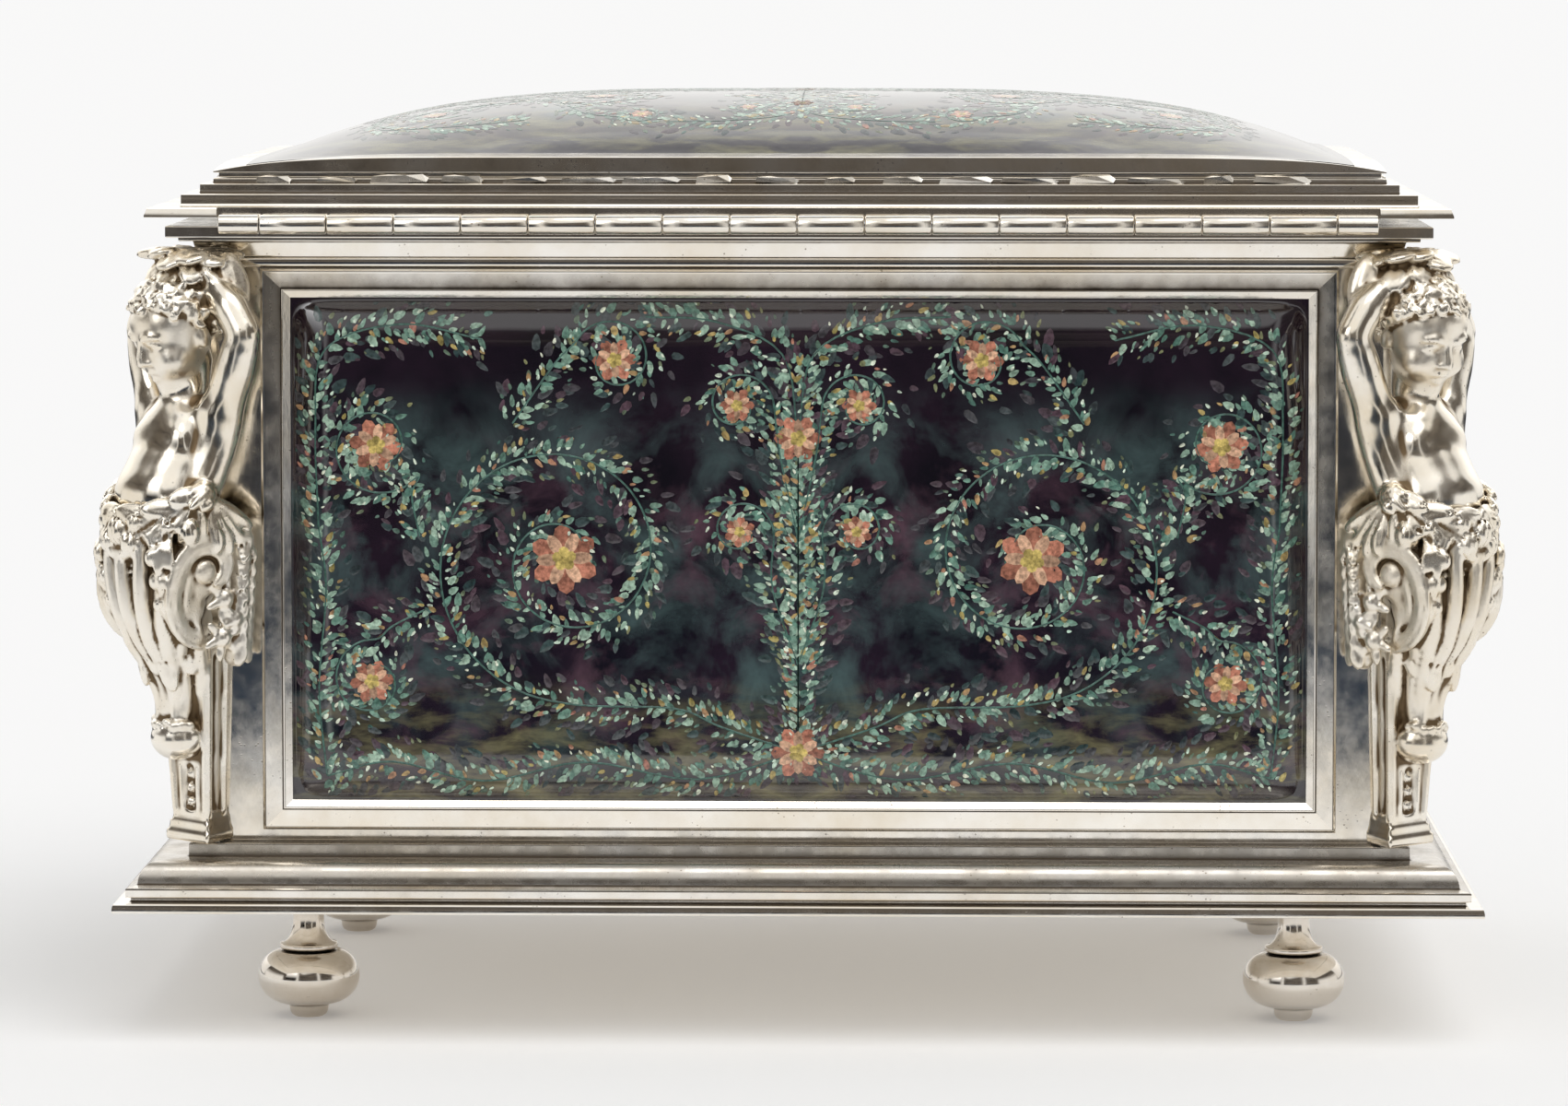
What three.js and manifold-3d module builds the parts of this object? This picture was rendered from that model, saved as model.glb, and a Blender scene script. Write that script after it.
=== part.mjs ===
// A silvered jewellery casket: a rectangular metal box on four turned feet, with an enamel panel framed in
// each side, a cast putto term on each corner, and a domed enamel lid on a long knuckle hinge.
// Millimetres, +Z up. The origin is the middle of the footprint on the table, X runs along the length,
// and the hinge side faces -Y.

import * as THREE from 'three';
import { mergeVertices } from 'three/addons/utils/BufferGeometryUtils.js';
import Module from 'manifold-3d';

const wasm = await Module();
wasm.setup();

// Clearances
const seam = 0.1; // soldered seams and stacked sheets
const fit = 0.3; // loose, turned and cast fits

// Body box, measured over the outer faces of its walls
const bodyLength = 180;
const bodyDepth = 110;
const bodyHeight = 105.1; // underside of the plinth to the top of the cornice
const wallThickness = 1.5;
const baseThickness = 2;
const liningThickness = 2.2;
const floorThickness = 3;

// Turned feet
const footHeight = 20.2;
const footInset = 12.5; // from the wall faces to the foot's axis
const footTipRadius = 2.4;
const footBallRadius = 8;
const footBallBottom = 2;
const footBallTop = 10.6;
const footFlangeRadius = 4.6;
const footFlangeThickness = 1;
const footNeckRadius = 2.45;
const footFlareHeight = 3.5;
const studRadius = 1.5;
const nutRadius = 3.3;
const nutHeight = 2;

// Plinth section: reach outwards from the wall faces, and height above its underside
const plinthPlateReach = 15;
const plinthPlateTop = 1.5;
const plinthGrooveReach = 12.3;
const plinthFilletReach = 13.1;
const plinthFilletBottom = 2.2;
const plinthFilletTop = 3.6;
const plinthOvoloReach = 11.4;
const plinthOvoloBottom = 4;
const plinthOvoloTop = 7.3;
const plinthOvoloTopReach = 8.7;
const plinthStepReach = 4.3;
const plinthTop = 9.45;

// Cornice section: reach outwards from the wall faces, and drop below its top
const corniceReach = 7;
const cornicePlate = 1.8;
const corniceFilletReach = 5.2;
const corniceFilletDrop = 2.4;
const corniceBandReach = 3.2;
const corniceBandDrop = 4.9;
const corniceBeadReach = 2.2;
const corniceDrop = 6.6;
const corniceLip = 5.2; // how far the plate covers the walls and lining inwards

// Panel frames and enamel panels
const frameSideMargin = 7; // wall left bare between the frame and the body's corner
const frameBottomMargin = 1.85; // above the plinth
const frameTopMargin = 0.15; // below the cornice
const frameWidth = 4.6;
const frameHeight = 2.4;
const frameEdge = 0.4;
const frameLipWidth = 1.3;
const frameLipHeight = 1.5;
const frameLipThickness = 0.5;
const frameBevelFoot = 1.1;
const enamelTuck = 0.6; // hidden under the frame's lip
const enamelSheet = 0.6;
const enamelShell = 1.3;
const enamelRise = 2.6;
const enamelMargin = 7; // width of the cushion's rounded border

// Lid
const lidGap = 1.4; // between the cornice and the lid plate
const lidPlateReach = 9.9;
const lidPlateThickness = 1.5;
const lidStepReach = 4.8;
const lidStepBottom = 2.3; // heights above the lid's underside
const lidStepTop = 3.5;
const lidCrownReach = 2.4;
const lidCrownBottom = 4.6;
const lidCrownTopReach = 0.9;
const lidMouldingHeight = 5.7;
const lidMouldingInset = 3.5; // from the wall faces in to the moulding's inner edge
const bezelReach = 0.3;
const bezelWidth = 6.2;
const bezelCornerHeight = 1.2; // above the lid moulding
const bezelLongArch = 2;
const bezelShortArch = 1.2;
const bezelFace = 1;
const bezelSheet = 0.6;
const bezelNeck = 0.8; // how far the bezel's foot stands back from its face
const bezelFootWidth = 1.2;
const bezelSideSteps = 6;
const domeRise = 8.8; // above the bezel's arches
const domeSheet = 1.4;
const domeTuck = 1.6;
const domeRoundness = 3.6;
const lidBoardThickness = 2;
const lidPadThickness = 4.4;
const lidPadCrown = 1.6;
const lidPadGap = 1.6; // between the pad and the cornice's lip

// Hinge
const knucklePitch = 10.27;
const knuckleFullCount = 16;
const knuckleEndLength = 6.3;
const knuckleGap = 0.15;
const barrelRadius = 1.5;
const barrelBore = 0.95;
const pinRadius = 0.65;
const leafThickness = 0.5;
const leafWidth = 6;
const hingeDrop = 1; // the pin's axis below the lid plate

// Lock, on the wall opposite the hinge
const lockLength = 22;
const lockDepth = 5.8;
const lockHeight = 11;
const boltLength = 6.9;
const boltWidth = 1.6;
const boltHeight = 2;
const boltTravel = 4;
const boltTipGap = 0.8; // from the drawn-back bolt to the staple
const stapleThickness = 1.6;
const stapleWidth = 3;
const stapleWall = 1.2; // metal left below the staple's eye
const staplePlateLength = 10;
const staplePlateThickness = 0.8;
const stapleSwing = 0.7; // room for the staple's arc as the lid closes
const boltDrop = 4.4; // the bolt's middle below the cornice top
const keyholeDrop = 7.2; // the keyhole's round below the cornice top
const keyholeRadius = 1.1;
const keyholeSlot = 1;
const keyholeLength = 2.4;
const escutcheonRadius = 3;
const escutcheonStretch = 1.35;
const escutcheonThickness = 0.8;

// Corner figures. Heights are below the crown of the capital, unless they say otherwise.
const crownDrop = 1.4; // crown below the cornice plate
const pedestalWidth = 10;
const pedestalFront = 5.8; // reach along the corner's diagonal
const pedestalBack = 0.7;
const pedestalHeight = 4.6;
const pedestalLedge = 0.7;
const pedestalFootHeight = 1.8;
const shaftTopWidth = 11;
const shaftTopFront = 6.6;
const shaftTopDrop = 60;
const shaftFootWidth = 7.6;
const shaftFootFront = 5;
const screwReach = 3.2; // along the corner's diagonal
const screwRadius = 0.9;
const screwHeadRadius = 1.8;
const screwHeadHeight = 1.4;
const screwBite = 7; // into the pedestal
const ovalSides = 12;
const bodyOvals = [ // drop below the crown, reach along the diagonal, half width, half depth
  [0, 5.8, 6, 4.6], [1.6, 5.8, 8, 6.4], [3.6, 5.8, 7.6, 6.2], [4.8, 6, 5.2, 5], // leaf capital
  [6.2, 6.4, 5.6, 5.8], [9, 7.2, 7.2, 7.4], [13, 7.8, 7.3, 7.8], [17.5, 8.2, 6.4, 7.2], // head
  [21, 8.2, 4.4, 5], [22.6, 7, 3.5, 3.6], [24.5, 6.4, 5.4, 4.2], // chin, neck and nape
  [27, 6.6, 8, 5.4], [31, 7.2, 7.6, 5.6], [34.5, 8.6, 6.6, 5.6], // chest and waist
  [37.2, 10, 7.8, 6.8], [39, 11.2, 10.8, 9.2], [41.5, 11.2, 11.2, 9.4], [44.5, 11, 10.6, 9], // garland
  [46.5, 10.2, 8.6, 7.4], [52, 9.8, 8.4, 7.4], [58, 8.6, 7.2, 6], [63, 6.4, 5.6, 4.2], // shell
];
const elbowSpread = 12.4;
const elbowReach = 4.4;
const elbowDrop = 12.3;
const shoulderSpread = 7.2;
const shoulderReach = 6.2;
const shoulderDrop = 25.5;
const handSpread = 4.5;
const handReach = 3.4;
const handDrop = 5.4;
const upperArmRadius = 3.3;
const elbowRadius = 2.9;
const wristRadius = 2.1;
const voluteSpread = 8.4;
const voluteReach = 9.6;
const voluteDrop = 50;
const voluteRadius = 4.6;
const voluteThickness = 3.2;

// Levels and outlines that follow from the sizes above
const halfLength = bodyLength / 2;
const halfDepth = bodyDepth / 2;
const baseBottom = footHeight + seam;
const baseTop = baseBottom + baseThickness;
const wallBottom = baseTop + seam;
const plinthLedge = footHeight + plinthTop;
const corniceTop = footHeight + bodyHeight;
const cornicePlateBottom = corniceTop - cornicePlate;
const corniceBottom = corniceTop - corniceDrop;
const wallTop = cornicePlateBottom - seam;
const lidBottom = corniceTop + lidGap;
const lidMouldingTop = lidBottom + lidMouldingHeight;
const hingeY = -(halfDepth + lidPlateReach);
const hingeZ = lidBottom - hingeDrop;
const hingeLength = knuckleFullCount * knucklePitch + 2 * knuckleEndLength;
const liningFace = wallThickness + seam + liningThickness; // inset of the lining's inner face

const silver = new THREE.MeshStandardMaterial({ color: 0xd8d2c4, roughness: 0.16, metalness: 1 });
const hingeSilver = new THREE.MeshStandardMaterial({ color: 0xcdc5b2, roughness: 0.24, metalness: 1 });
const steel = new THREE.MeshStandardMaterial({ color: 0x8a8d92, roughness: 0.35, metalness: 1 });
const enamel = new THREE.MeshStandardMaterial({ color: 0x241a26, roughness: 0.08, metalness: 0 });
const velvet = new THREE.MeshStandardMaterial({ color: 0x5a0f16, roughness: 0.95, metalness: 0 });
const card = new THREE.MeshStandardMaterial({ color: 0x6b4a34, roughness: 0.9, metalness: 0 });

const casket = new THREE.Group();

// Joining and cutting closed meshes

function toSolid(geometry) {
  const bare = geometry.clone();
  bare.deleteAttribute('normal');
  bare.deleteAttribute('uv');
  const merged = mergeVertices(bare);
  return new wasm.Manifold(new wasm.Mesh({
    numProp: 3,
    vertProperties: new Float32Array(merged.attributes.position.array),
    triVerts: new Uint32Array(merged.index.array),
  }));
}

function toGeometry(solid) {
  const mesh = solid.getMesh();
  const geometry = new THREE.BufferGeometry();
  geometry.setAttribute('position', new THREE.BufferAttribute(mesh.vertProperties, 3));
  geometry.setIndex(new THREE.BufferAttribute(mesh.triVerts, 1));
  geometry.computeVertexNormals();
  return geometry;
}

function join(...geometries) {
  return toGeometry(geometries.map(toSolid).reduce((whole, piece) => whole.add(piece)));
}

function cut(geometry, ...tools) {
  return toGeometry(tools.map(toSolid).reduce((rest, tool) => rest.subtract(tool), toSolid(geometry)));
}

// Simple shapes in place

function add(name, geometry, material, parent = casket) {
  const mesh = new THREE.Mesh(geometry, material);
  mesh.name = name;
  parent.add(mesh);
  return mesh;
}

function span(x0, x1, y0, y1, z0, z1) {
  const box = new THREE.BoxGeometry(x1 - x0, y1 - y0, z1 - z0);
  return box.translate((x0 + x1) / 2, (y0 + y1) / 2, (z0 + z1) / 2);
}

function rod(axis, radius, length, sides) {
  const cylinder = new THREE.CylinderGeometry(radius, radius, length, sides);
  if (axis === 'x') return cylinder.rotateZ(Math.PI / 2);
  if (axis === 'z') return cylinder.rotateX(Math.PI / 2);
  return cylinder;
}

// Quarter of an ellipse from one profile point to the next, swelling towards the given corner
function quarter(from, to, corner, steps) {
  const points = [];
  for (let step = 1; step < steps; step++) {
    const angle = (step / steps) * Math.PI / 2;
    const along = 1 - Math.cos(angle);
    const out = Math.sin(angle);
    points.push([
      from[0] + (corner[0] - from[0]) * out + (to[0] - corner[0]) * along,
      from[1] + (corner[1] - from[1]) * out + (to[1] - corner[1]) * along,
    ]);
  }
  return [from, ...points, to];
}

// One mitred length of moulding along X, with its profile of [reach, height] points facing -Y
function mitredLength(profile, halfRun, halfAcross) {
  const outline = new THREE.Shape(profile.map(([reach, height]) => new THREE.Vector2(reach, height)));
  const length = new THREE.ExtrudeGeometry(outline, { depth: 1, bevelEnabled: false });
  const place = length.attributes.position;
  for (let i = 0; i < place.count; i++) {
    const reach = place.getX(i);
    const height = place.getY(i);
    const end = place.getZ(i) > 0.5 ? -1 : 1;
    place.setXYZ(i, end * (halfRun + reach), -(halfAcross + reach), height);
  }
  return length;
}

// The four sides of the box: a name, the turn from the hinge side, and half sizes along and across
const sides = [
  { name: 'back', turn: 0, run: halfLength, across: halfDepth },
  { name: 'right', turn: Math.PI / 2, run: halfDepth, across: halfLength },
  { name: 'front', turn: Math.PI, run: halfLength, across: halfDepth },
  { name: 'left', turn: -Math.PI / 2, run: halfDepth, across: halfLength },
];

// Closed ring through a list of sections, each a list of points in the same order
function ringThrough(sections) {
  const count = sections[0].length;
  const index = [];
  sections.forEach((section, s) => {
    const here = s * count;
    const next = ((s + 1) % sections.length) * count;
    for (let i = 0; i < count; i++) {
      const j = (i + 1) % count;
      index.push(here + i, next + i, next + j, here + i, next + j, here + j);
    }
  });
  const ring = new THREE.BufferGeometry();
  ring.setAttribute('position', new THREE.Float32BufferAttribute(sections.flat(2), 3));
  ring.setIndex(index);
  ring.computeVertexNormals();
  return ring;
}

// Closed slab over a grid of x and y lines, between two height functions
function slab(xs, ys, top, bottom) {
  const columns = xs.length;
  const layer = columns * ys.length;
  const positions = [];
  for (const level of [top, bottom]) {
    for (const y of ys) for (const x of xs) positions.push(x, y, level(x, y));
  }
  const index = [];
  const quad = (a, b, c, d) => index.push(a, b, c, a, c, d);
  for (let j = 0; j + 1 < ys.length; j++) {
    for (let i = 0; i + 1 < columns; i++) {
      const at = j * columns + i;
      quad(at, at + 1, at + columns + 1, at + columns);
      quad(layer + at, layer + at + columns, layer + at + columns + 1, layer + at + 1);
    }
  }
  const rim = [];
  for (let i = 0; i + 1 < columns; i++) rim.push(i);
  for (let j = 0; j + 1 < ys.length; j++) rim.push(j * columns + columns - 1);
  for (let i = columns - 1; i > 0; i--) rim.push((ys.length - 1) * columns + i);
  for (let j = ys.length - 1; j > 0; j--) rim.push(j * columns);
  rim.forEach((at, k) => {
    const next = rim[(k + 1) % rim.length];
    quad(at, layer + at, layer + next, next);
  });
  const geometry = new THREE.BufferGeometry();
  geometry.setAttribute('position', new THREE.Float32BufferAttribute(positions, 3));
  geometry.setIndex(index);
  geometry.computeVertexNormals();
  return geometry;
}

function mirrored(lines) {
  return [...lines.map((value) => -value), ...[...lines].reverse()];
}

// Keyhole, cut along Y through everything on the lock side
function keyholeCutter() {
  const outer = halfDepth + plinthPlateReach;
  const inner = halfDepth - wallThickness - lockDepth / 2;
  const round = rod('y', keyholeRadius, outer - inner, 12);
  const middle = corniceTop - keyholeDrop;
  round.translate(0, (outer + inner) / 2, middle);
  const slot = span(-keyholeSlot / 2, keyholeSlot / 2, inner, outer, middle - keyholeLength, middle);
  return join(round, slot);
}
const keyhole = keyholeCutter();

// Feet: turned, each with a stud that passes through the base plate to a nut

function foot() {
  const ballMiddle = (footBallBottom + footBallTop) / 2;
  const ballHalf = (footBallTop - footBallBottom) / 2;
  const flangeBottom = footBallTop + seam;
  const flangeTop = flangeBottom + footFlangeThickness;
  const low = Math.asin(footTipRadius / footBallRadius);
  const ball = [];
  const ballSteps = 6;
  for (let step = 0; step <= ballSteps; step++) {
    const angle = low + (step / ballSteps) * (Math.PI - 2 * low);
    ball.push([footBallRadius * Math.sin(angle), ballMiddle - ballHalf * Math.cos(angle)]);
  }
  const flareTop = [footNeckRadius, flangeTop + footFlareHeight];
  const flare = quarter([footFlangeRadius, flangeTop], flareTop, [footNeckRadius, flangeTop], 3);
  const studTop = baseTop + nutHeight + seam;
  const profile = [
    [0, 0], [footTipRadius, 0], ...ball, [footFlangeRadius, flangeBottom], ...flare,
    [footNeckRadius, footHeight], [studRadius, footHeight], [studRadius, studTop], [0, studTop],
  ];
  const turning = profile.map(([radius, height]) => new THREE.Vector2(radius, height));
  return new THREE.LatheGeometry(turning, 16).rotateX(Math.PI / 2);
}

function nut() {
  const hexagon = rod('z', nutRadius, nutHeight, 6);
  return cut(hexagon, rod('z', studRadius + fit, nutHeight + 1, 12));
}

const corners = [
  { name: 'back_left', x: -1, y: -1 },
  { name: 'back_right', x: 1, y: -1 },
  { name: 'front_right', x: 1, y: 1 },
  { name: 'front_left', x: -1, y: 1 },
];

function studHoles() {
  return corners.map(({ x, y }) => rod('z', studRadius + fit, bodyHeight, 12)
    .translate(x * (halfLength - footInset), y * (halfDepth - footInset), 0));
}

for (const { name, x, y } of corners) {
  const place = [x * (halfLength - footInset), y * (halfDepth - footInset)];
  add(`foot_${name}`, foot(), silver).position.set(...place, 0);
  add(`foot_nut_${name}`, nut(), steel).position.set(...place, baseTop + seam / 2 + nutHeight / 2);
}

// Base plate and plinth

const studHoleStack = studHoles().map((hole) => hole.translate(0, 0, baseBottom));
const basePlate = span(-halfLength, halfLength, -halfDepth, halfDepth, baseBottom, baseTop);
add('base_plate', cut(basePlate, ...studHoleStack), silver);

const plinthProfile = [
  [seam, 0], [plinthPlateReach, 0], [plinthPlateReach, plinthPlateTop],
  [plinthGrooveReach, plinthPlateTop], [plinthGrooveReach, plinthFilletBottom],
  [plinthFilletReach, plinthFilletBottom], [plinthFilletReach, plinthFilletTop],
  [plinthOvoloReach, plinthOvoloBottom],
  ...quarter([plinthOvoloReach, plinthOvoloBottom], [plinthOvoloTopReach, plinthOvoloTop],
    [plinthOvoloReach, plinthOvoloTop], 4).slice(1),
  [plinthStepReach, plinthOvoloTop + seam], [plinthStepReach, plinthTop], [seam, plinthTop],
].map(([reach, height]) => [reach, footHeight + height]);

// Screw holes that cross the plinth's mitres, in the frame of a length that faces -Y
function plinthScrewHoles(run, across) {
  const reach = screwReach * Math.SQRT1_2;
  return [-1, 1].flatMap((end) => [
    rod('z', screwRadius + fit, bodyHeight, 12),
    rod('z', screwHeadRadius + fit, 2 * (screwHeadHeight + fit), 12),
  ].map((hole) => hole.translate(end * (run + reach), -(across + reach), footHeight)));
}

for (const { name, turn, run, across } of sides) {
  const length = mitredLength(plinthProfile, run, across);
  add(`plinth_${name}`, cut(length, ...plinthScrewHoles(run, across)), silver).rotation.z = turn;
}

// Walls, with the end walls standing between the long ones

function wall(side, run, across) {
  const long = side.run === halfLength;
  const half = long ? run : run - wallThickness - seam;
  const sheet = span(-half, half, -across, -(across - wallThickness), wallBottom, wallTop);
  const standing = sheet.rotateZ(side.turn);
  return side.name === 'front' ? cut(standing, keyhole) : standing;
}

for (const side of sides) add(`wall_${side.name}`, wall(side, side.run, side.across), silver);

// Cornice

const corniceProfile = [
  [seam, -corniceDrop], [corniceBandReach / 2, -corniceDrop], [corniceBeadReach, -(corniceDrop - 0.6)],
  [corniceBeadReach, -corniceBandDrop - 0.5], [corniceBandReach / 2, -corniceBandDrop],
  [corniceBandReach, -corniceBandDrop], [corniceBandReach, -corniceFilletDrop],
  [corniceFilletReach, -corniceFilletDrop], [corniceFilletReach, -cornicePlate],
  [corniceReach, -cornicePlate], [corniceReach, 0], [-corniceLip, 0], [-corniceLip, -cornicePlate],
  [seam, -cornicePlate],
].map(([reach, drop]) => [reach, corniceTop + drop]);

const stapleY = halfDepth - wallThickness - seam - lockDepth / 2;
const stapleSlot = span(
  -(stapleThickness / 2 + stapleSwing), stapleThickness / 2 + stapleSwing,
  stapleY - stapleWidth / 2 - fit, stapleY + stapleWidth / 2 + stapleSwing,
  cornicePlateBottom - seam, corniceTop + seam,
);

for (const { name, turn, run, across } of sides) {
  const length = mitredLength(corniceProfile, run, across).rotateZ(turn);
  add(`cornice_${name}`, name === 'front' ? cut(length, keyhole, stapleSlot) : length, silver);
}

// Panel frames and enamel panels, built facing -Y around the middle of their opening

const frameBottom = plinthLedge + frameBottomMargin;
const frameTop = corniceBottom - frameTopMargin;
const openingHalfHeight = (frameTop - frameBottom) / 2 - frameWidth;
const openingMiddle = (frameTop + frameBottom) / 2;
const rebate = enamelTuck + fit;
const rebateTop = frameLipHeight - frameLipThickness;

function panelFrame(halfWidth) {
  const profile = [
    [rebate, 0], [frameWidth, 0], [frameWidth, frameHeight - frameEdge],
    [frameWidth - frameEdge, frameHeight], [frameWidth - 2 * frameEdge, frameHeight - frameEdge / 2],
    [frameLipWidth, frameBevelFoot], [frameLipWidth, frameLipHeight], [0, frameLipHeight],
    [0, rebateTop], [rebate, rebateTop],
  ];
  const quadrants = [[1, 1], [-1, 1], [-1, -1], [1, -1]];
  return ringThrough(quadrants.map(([x, z]) => profile.map(([width, height]) => [
    x * (halfWidth + width), -height, openingMiddle + z * (openingHalfHeight + width),
  ])));
}

// Height of the enamel's cushion, from its hidden flat edge to its middle
function cushion(x, z, halfWidth, halfHeight) {
  const inside = Math.min(halfWidth - Math.abs(x), halfHeight - Math.abs(z)) - fit;
  if (inside <= 0) return enamelSheet;
  const rise = 1 - Math.min(inside / enamelMargin, 1);
  return enamelSheet + enamelRise * (1 - rise ** 2.4);
}

function enamelPanel(halfWidth) {
  const borders = [-enamelTuck, fit, 0.2 * enamelMargin, 0.5 * enamelMargin, enamelMargin];
  const xs = mirrored(borders.map((border) => halfWidth - border));
  const zs = mirrored(borders.map((border) => openingHalfHeight - border));
  const top = (x, z) => cushion(x, z, halfWidth, openingHalfHeight);
  const bottom = (x, z) => Math.max(0, top(x, z) - enamelShell);
  return slab(xs, zs, top, bottom).rotateX(Math.PI / 2).translate(0, 0, openingMiddle);
}

for (const { name, turn, run, across } of sides) {
  const halfWidth = run - frameSideMargin - frameWidth;
  const out = -(across + seam);
  const frame = panelFrame(halfWidth).translate(0, out, 0).rotateZ(turn);
  add(`panel_frame_${name}`, name === 'front' ? cut(frame, keyhole) : frame, silver);
  add(`enamel_panel_${name}`, enamelPanel(halfWidth).translate(0, out, 0), enamel).rotation.z = turn;
}

// Corner figures, built around the body's corner edge with the corner's diagonal along -Y

const crown = cornicePlateBottom - crownDrop;
const pedestalBottom = plinthLedge + fit;

function bead(spread, reach, drop, wide, deep, tall) {
  const geometry = new THREE.OctahedronGeometry(1, 1);
  return geometry.scale(wide, deep, tall).translate(spread, -reach, crown - drop);
}

function limb(from, to, startRadius, endRadius) {
  const start = new THREE.Vector3(...from);
  const run = new THREE.Vector3(...to).sub(start);
  const tube = new THREE.CylinderGeometry(endRadius, startRadius, run.length(), 6);
  const turn = new THREE.Quaternion().setFromUnitVectors(new THREE.Vector3(0, 1, 0), run.clone().normalize());
  const middle = start.addScaledVector(run, 0.5);
  return tube.applyQuaternion(turn).translate(middle.x, middle.y, middle.z);
}

// The cast body as a stack of ovals, from the capital's leaves through head, chest and garland to the shell
function castBody() {
  const sections = bodyOvals.map(([drop, reach, wide, deep]) => {
    const oval = [];
    for (let side = 0; side < ovalSides; side++) {
      const angle = (side / ovalSides) * 2 * Math.PI;
      oval.push(new THREE.Vector3(wide * Math.cos(angle), deep * Math.sin(angle) - reach, crown - drop));
    }
    return oval;
  });
  const index = [];
  for (let level = 0; level + 1 < sections.length; level++) {
    for (let side = 0; side < ovalSides; side++) {
      const next = (side + 1) % ovalSides;
      const upper = level * ovalSides;
      const lower = upper + ovalSides;
      index.push(upper + side, lower + side, lower + next, upper + side, lower + next, upper + next);
    }
  }
  const last = (sections.length - 1) * ovalSides;
  for (let side = 1; side + 1 < ovalSides; side++) {
    index.push(0, side, side + 1, last, last + side + 1, last + side);
  }
  return new THREE.BufferGeometry().setFromPoints(sections.flat()).setIndex(index);
}

// Block whose plan tapers from its foot to its head, flat at the back
function taperedBlock(footWidth, footFront, headWidth, headFront, z0, z1) {
  const corner = (width, reach, z) => new THREE.Vector3(width, -reach, z);
  const loop = (width, front, z) => [
    corner(-width / 2, front, z), corner(width / 2, front, z),
    corner(width / 2, -pedestalBack, z), corner(-width / 2, -pedestalBack, z),
  ];
  const points = [...loop(footWidth, footFront, z0), ...loop(headWidth, headFront, z1)];
  const index = [0, 2, 1, 0, 3, 2, 4, 5, 6, 4, 6, 7];
  for (let i = 0; i < 4; i++) {
    const j = (i + 1) % 4;
    index.push(i, j, 4 + j, i, 4 + j, 4 + i);
  }
  return new THREE.BufferGeometry().setFromPoints(points).setIndex(index);
}

// The body's corner, let into the figure's back at a given reach from the wall faces
function cornerCutter(reach, z0, z1) {
  const size = 2 * elbowSpread + 2 * pedestalWidth;
  const block = span(-size / 2, size / 2, -size / 2, size / 2, z0, z1);
  return block.rotateZ(Math.PI / 4).translate(0, (size / 2 - reach) * Math.SQRT2, 0);
}

function arm(side) {
  const shoulder = [side * shoulderSpread, -shoulderReach, crown - shoulderDrop];
  const elbow = [side * elbowSpread, -elbowReach, crown - elbowDrop];
  const hand = [side * handSpread, -handReach, crown - handDrop];
  return [
    limb(shoulder, elbow, upperArmRadius, elbowRadius),
    bead(side * elbowSpread, elbowReach, elbowDrop, elbowRadius, elbowRadius, elbowRadius),
    limb(elbow, hand, elbowRadius, wristRadius),
  ];
}

function sideScroll(side) {
  const volute = rod('x', voluteRadius, voluteThickness, 10);
  volute.translate(side * voluteSpread, -voluteReach, crown - voluteDrop);
  const foot = [side * shaftTopWidth / 3, -shaftTopFront, crown - shaftTopDrop - voluteRadius];
  const start = [side * voluteSpread, -(voluteReach + voluteRadius / 2), crown - voluteDrop - voluteRadius / 2];
  return [
    volute,
    limb(start, foot, voluteThickness / 1.5, voluteThickness / 2.5),
    bead(side * 9.6, 4.8, 54.5, 2.5, 2.9, 6.5),
    bead(side * 9.4, 13.2, 51.5, 2.2, 2.4, 6),
  ];
}

function pedestal() {
  const ledgeWidth = pedestalWidth - 2 * pedestalLedge;
  const ledgeFront = pedestalFront - pedestalLedge;
  const footTop = pedestalBottom + pedestalFootHeight;
  const shaftBottom = pedestalBottom + pedestalHeight;
  const overlap = seam; // each block runs into the next one
  return [
    taperedBlock(pedestalWidth, pedestalFront, pedestalWidth, pedestalFront, pedestalBottom, footTop),
    taperedBlock(ledgeWidth, ledgeFront, ledgeWidth, ledgeFront, footTop - overlap, shaftBottom),
    taperedBlock(shaftFootWidth, shaftFootFront, shaftTopWidth, shaftTopFront,
      shaftBottom - overlap, crown - shaftTopDrop),
    bead(0, 6.6, 75.5, 4.2, 3.2, 3.8),
  ];
}

function putto() {
  const figure = join(
    ...pedestal(),
    castBody(),
    ...sideScroll(-1),
    ...sideScroll(1),
    ...arm(-1),
    ...arm(1),
  );
  const screwHole = rod('z', screwRadius + fit, 2 * (screwBite + fit), 12);
  return cut(
    figure,
    cornerCutter(fit, pedestalBottom - 1, corniceTop),
    cornerCutter(corniceBandReach + fit, corniceBottom - fit, corniceTop),
    screwHole.translate(0, -screwReach, pedestalBottom),
  );
}

function figureScrew() {
  const headBottom = footHeight + fit;
  const tip = pedestalBottom + screwBite;
  const shank = rod('z', screwRadius, tip - headBottom, 12).translate(0, 0, (tip + headBottom) / 2);
  const head = rod('z', screwHeadRadius, screwHeadHeight, 12).translate(0, 0, headBottom + screwHeadHeight / 2);
  return join(shank, head).translate(0, -screwReach, 0);
}

const figure = putto();
const screw = figureScrew();
for (const { name, x, y } of corners) {
  const stand = new THREE.Group();
  stand.position.set(x * halfLength, y * halfDepth, 0);
  stand.rotation.z = Math.atan2(x, -y);
  add(`figure_${name}`, figure, silver, stand);
  add(`figure_screw_${name}`, screw, steel, stand);
  casket.add(stand);
}

// Lining of the body

const liningBottom = baseTop + nutHeight + 2 * seam;
const floorTop = liningBottom + floorThickness;
const floorHalfLength = halfLength - wallThickness - fit;
const floorHalfDepth = halfDepth - wallThickness - fit;
add('lining_floor', span(-floorHalfLength, floorHalfLength, -floorHalfDepth, floorHalfDepth,
  liningBottom + seam, floorTop), velvet);

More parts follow.
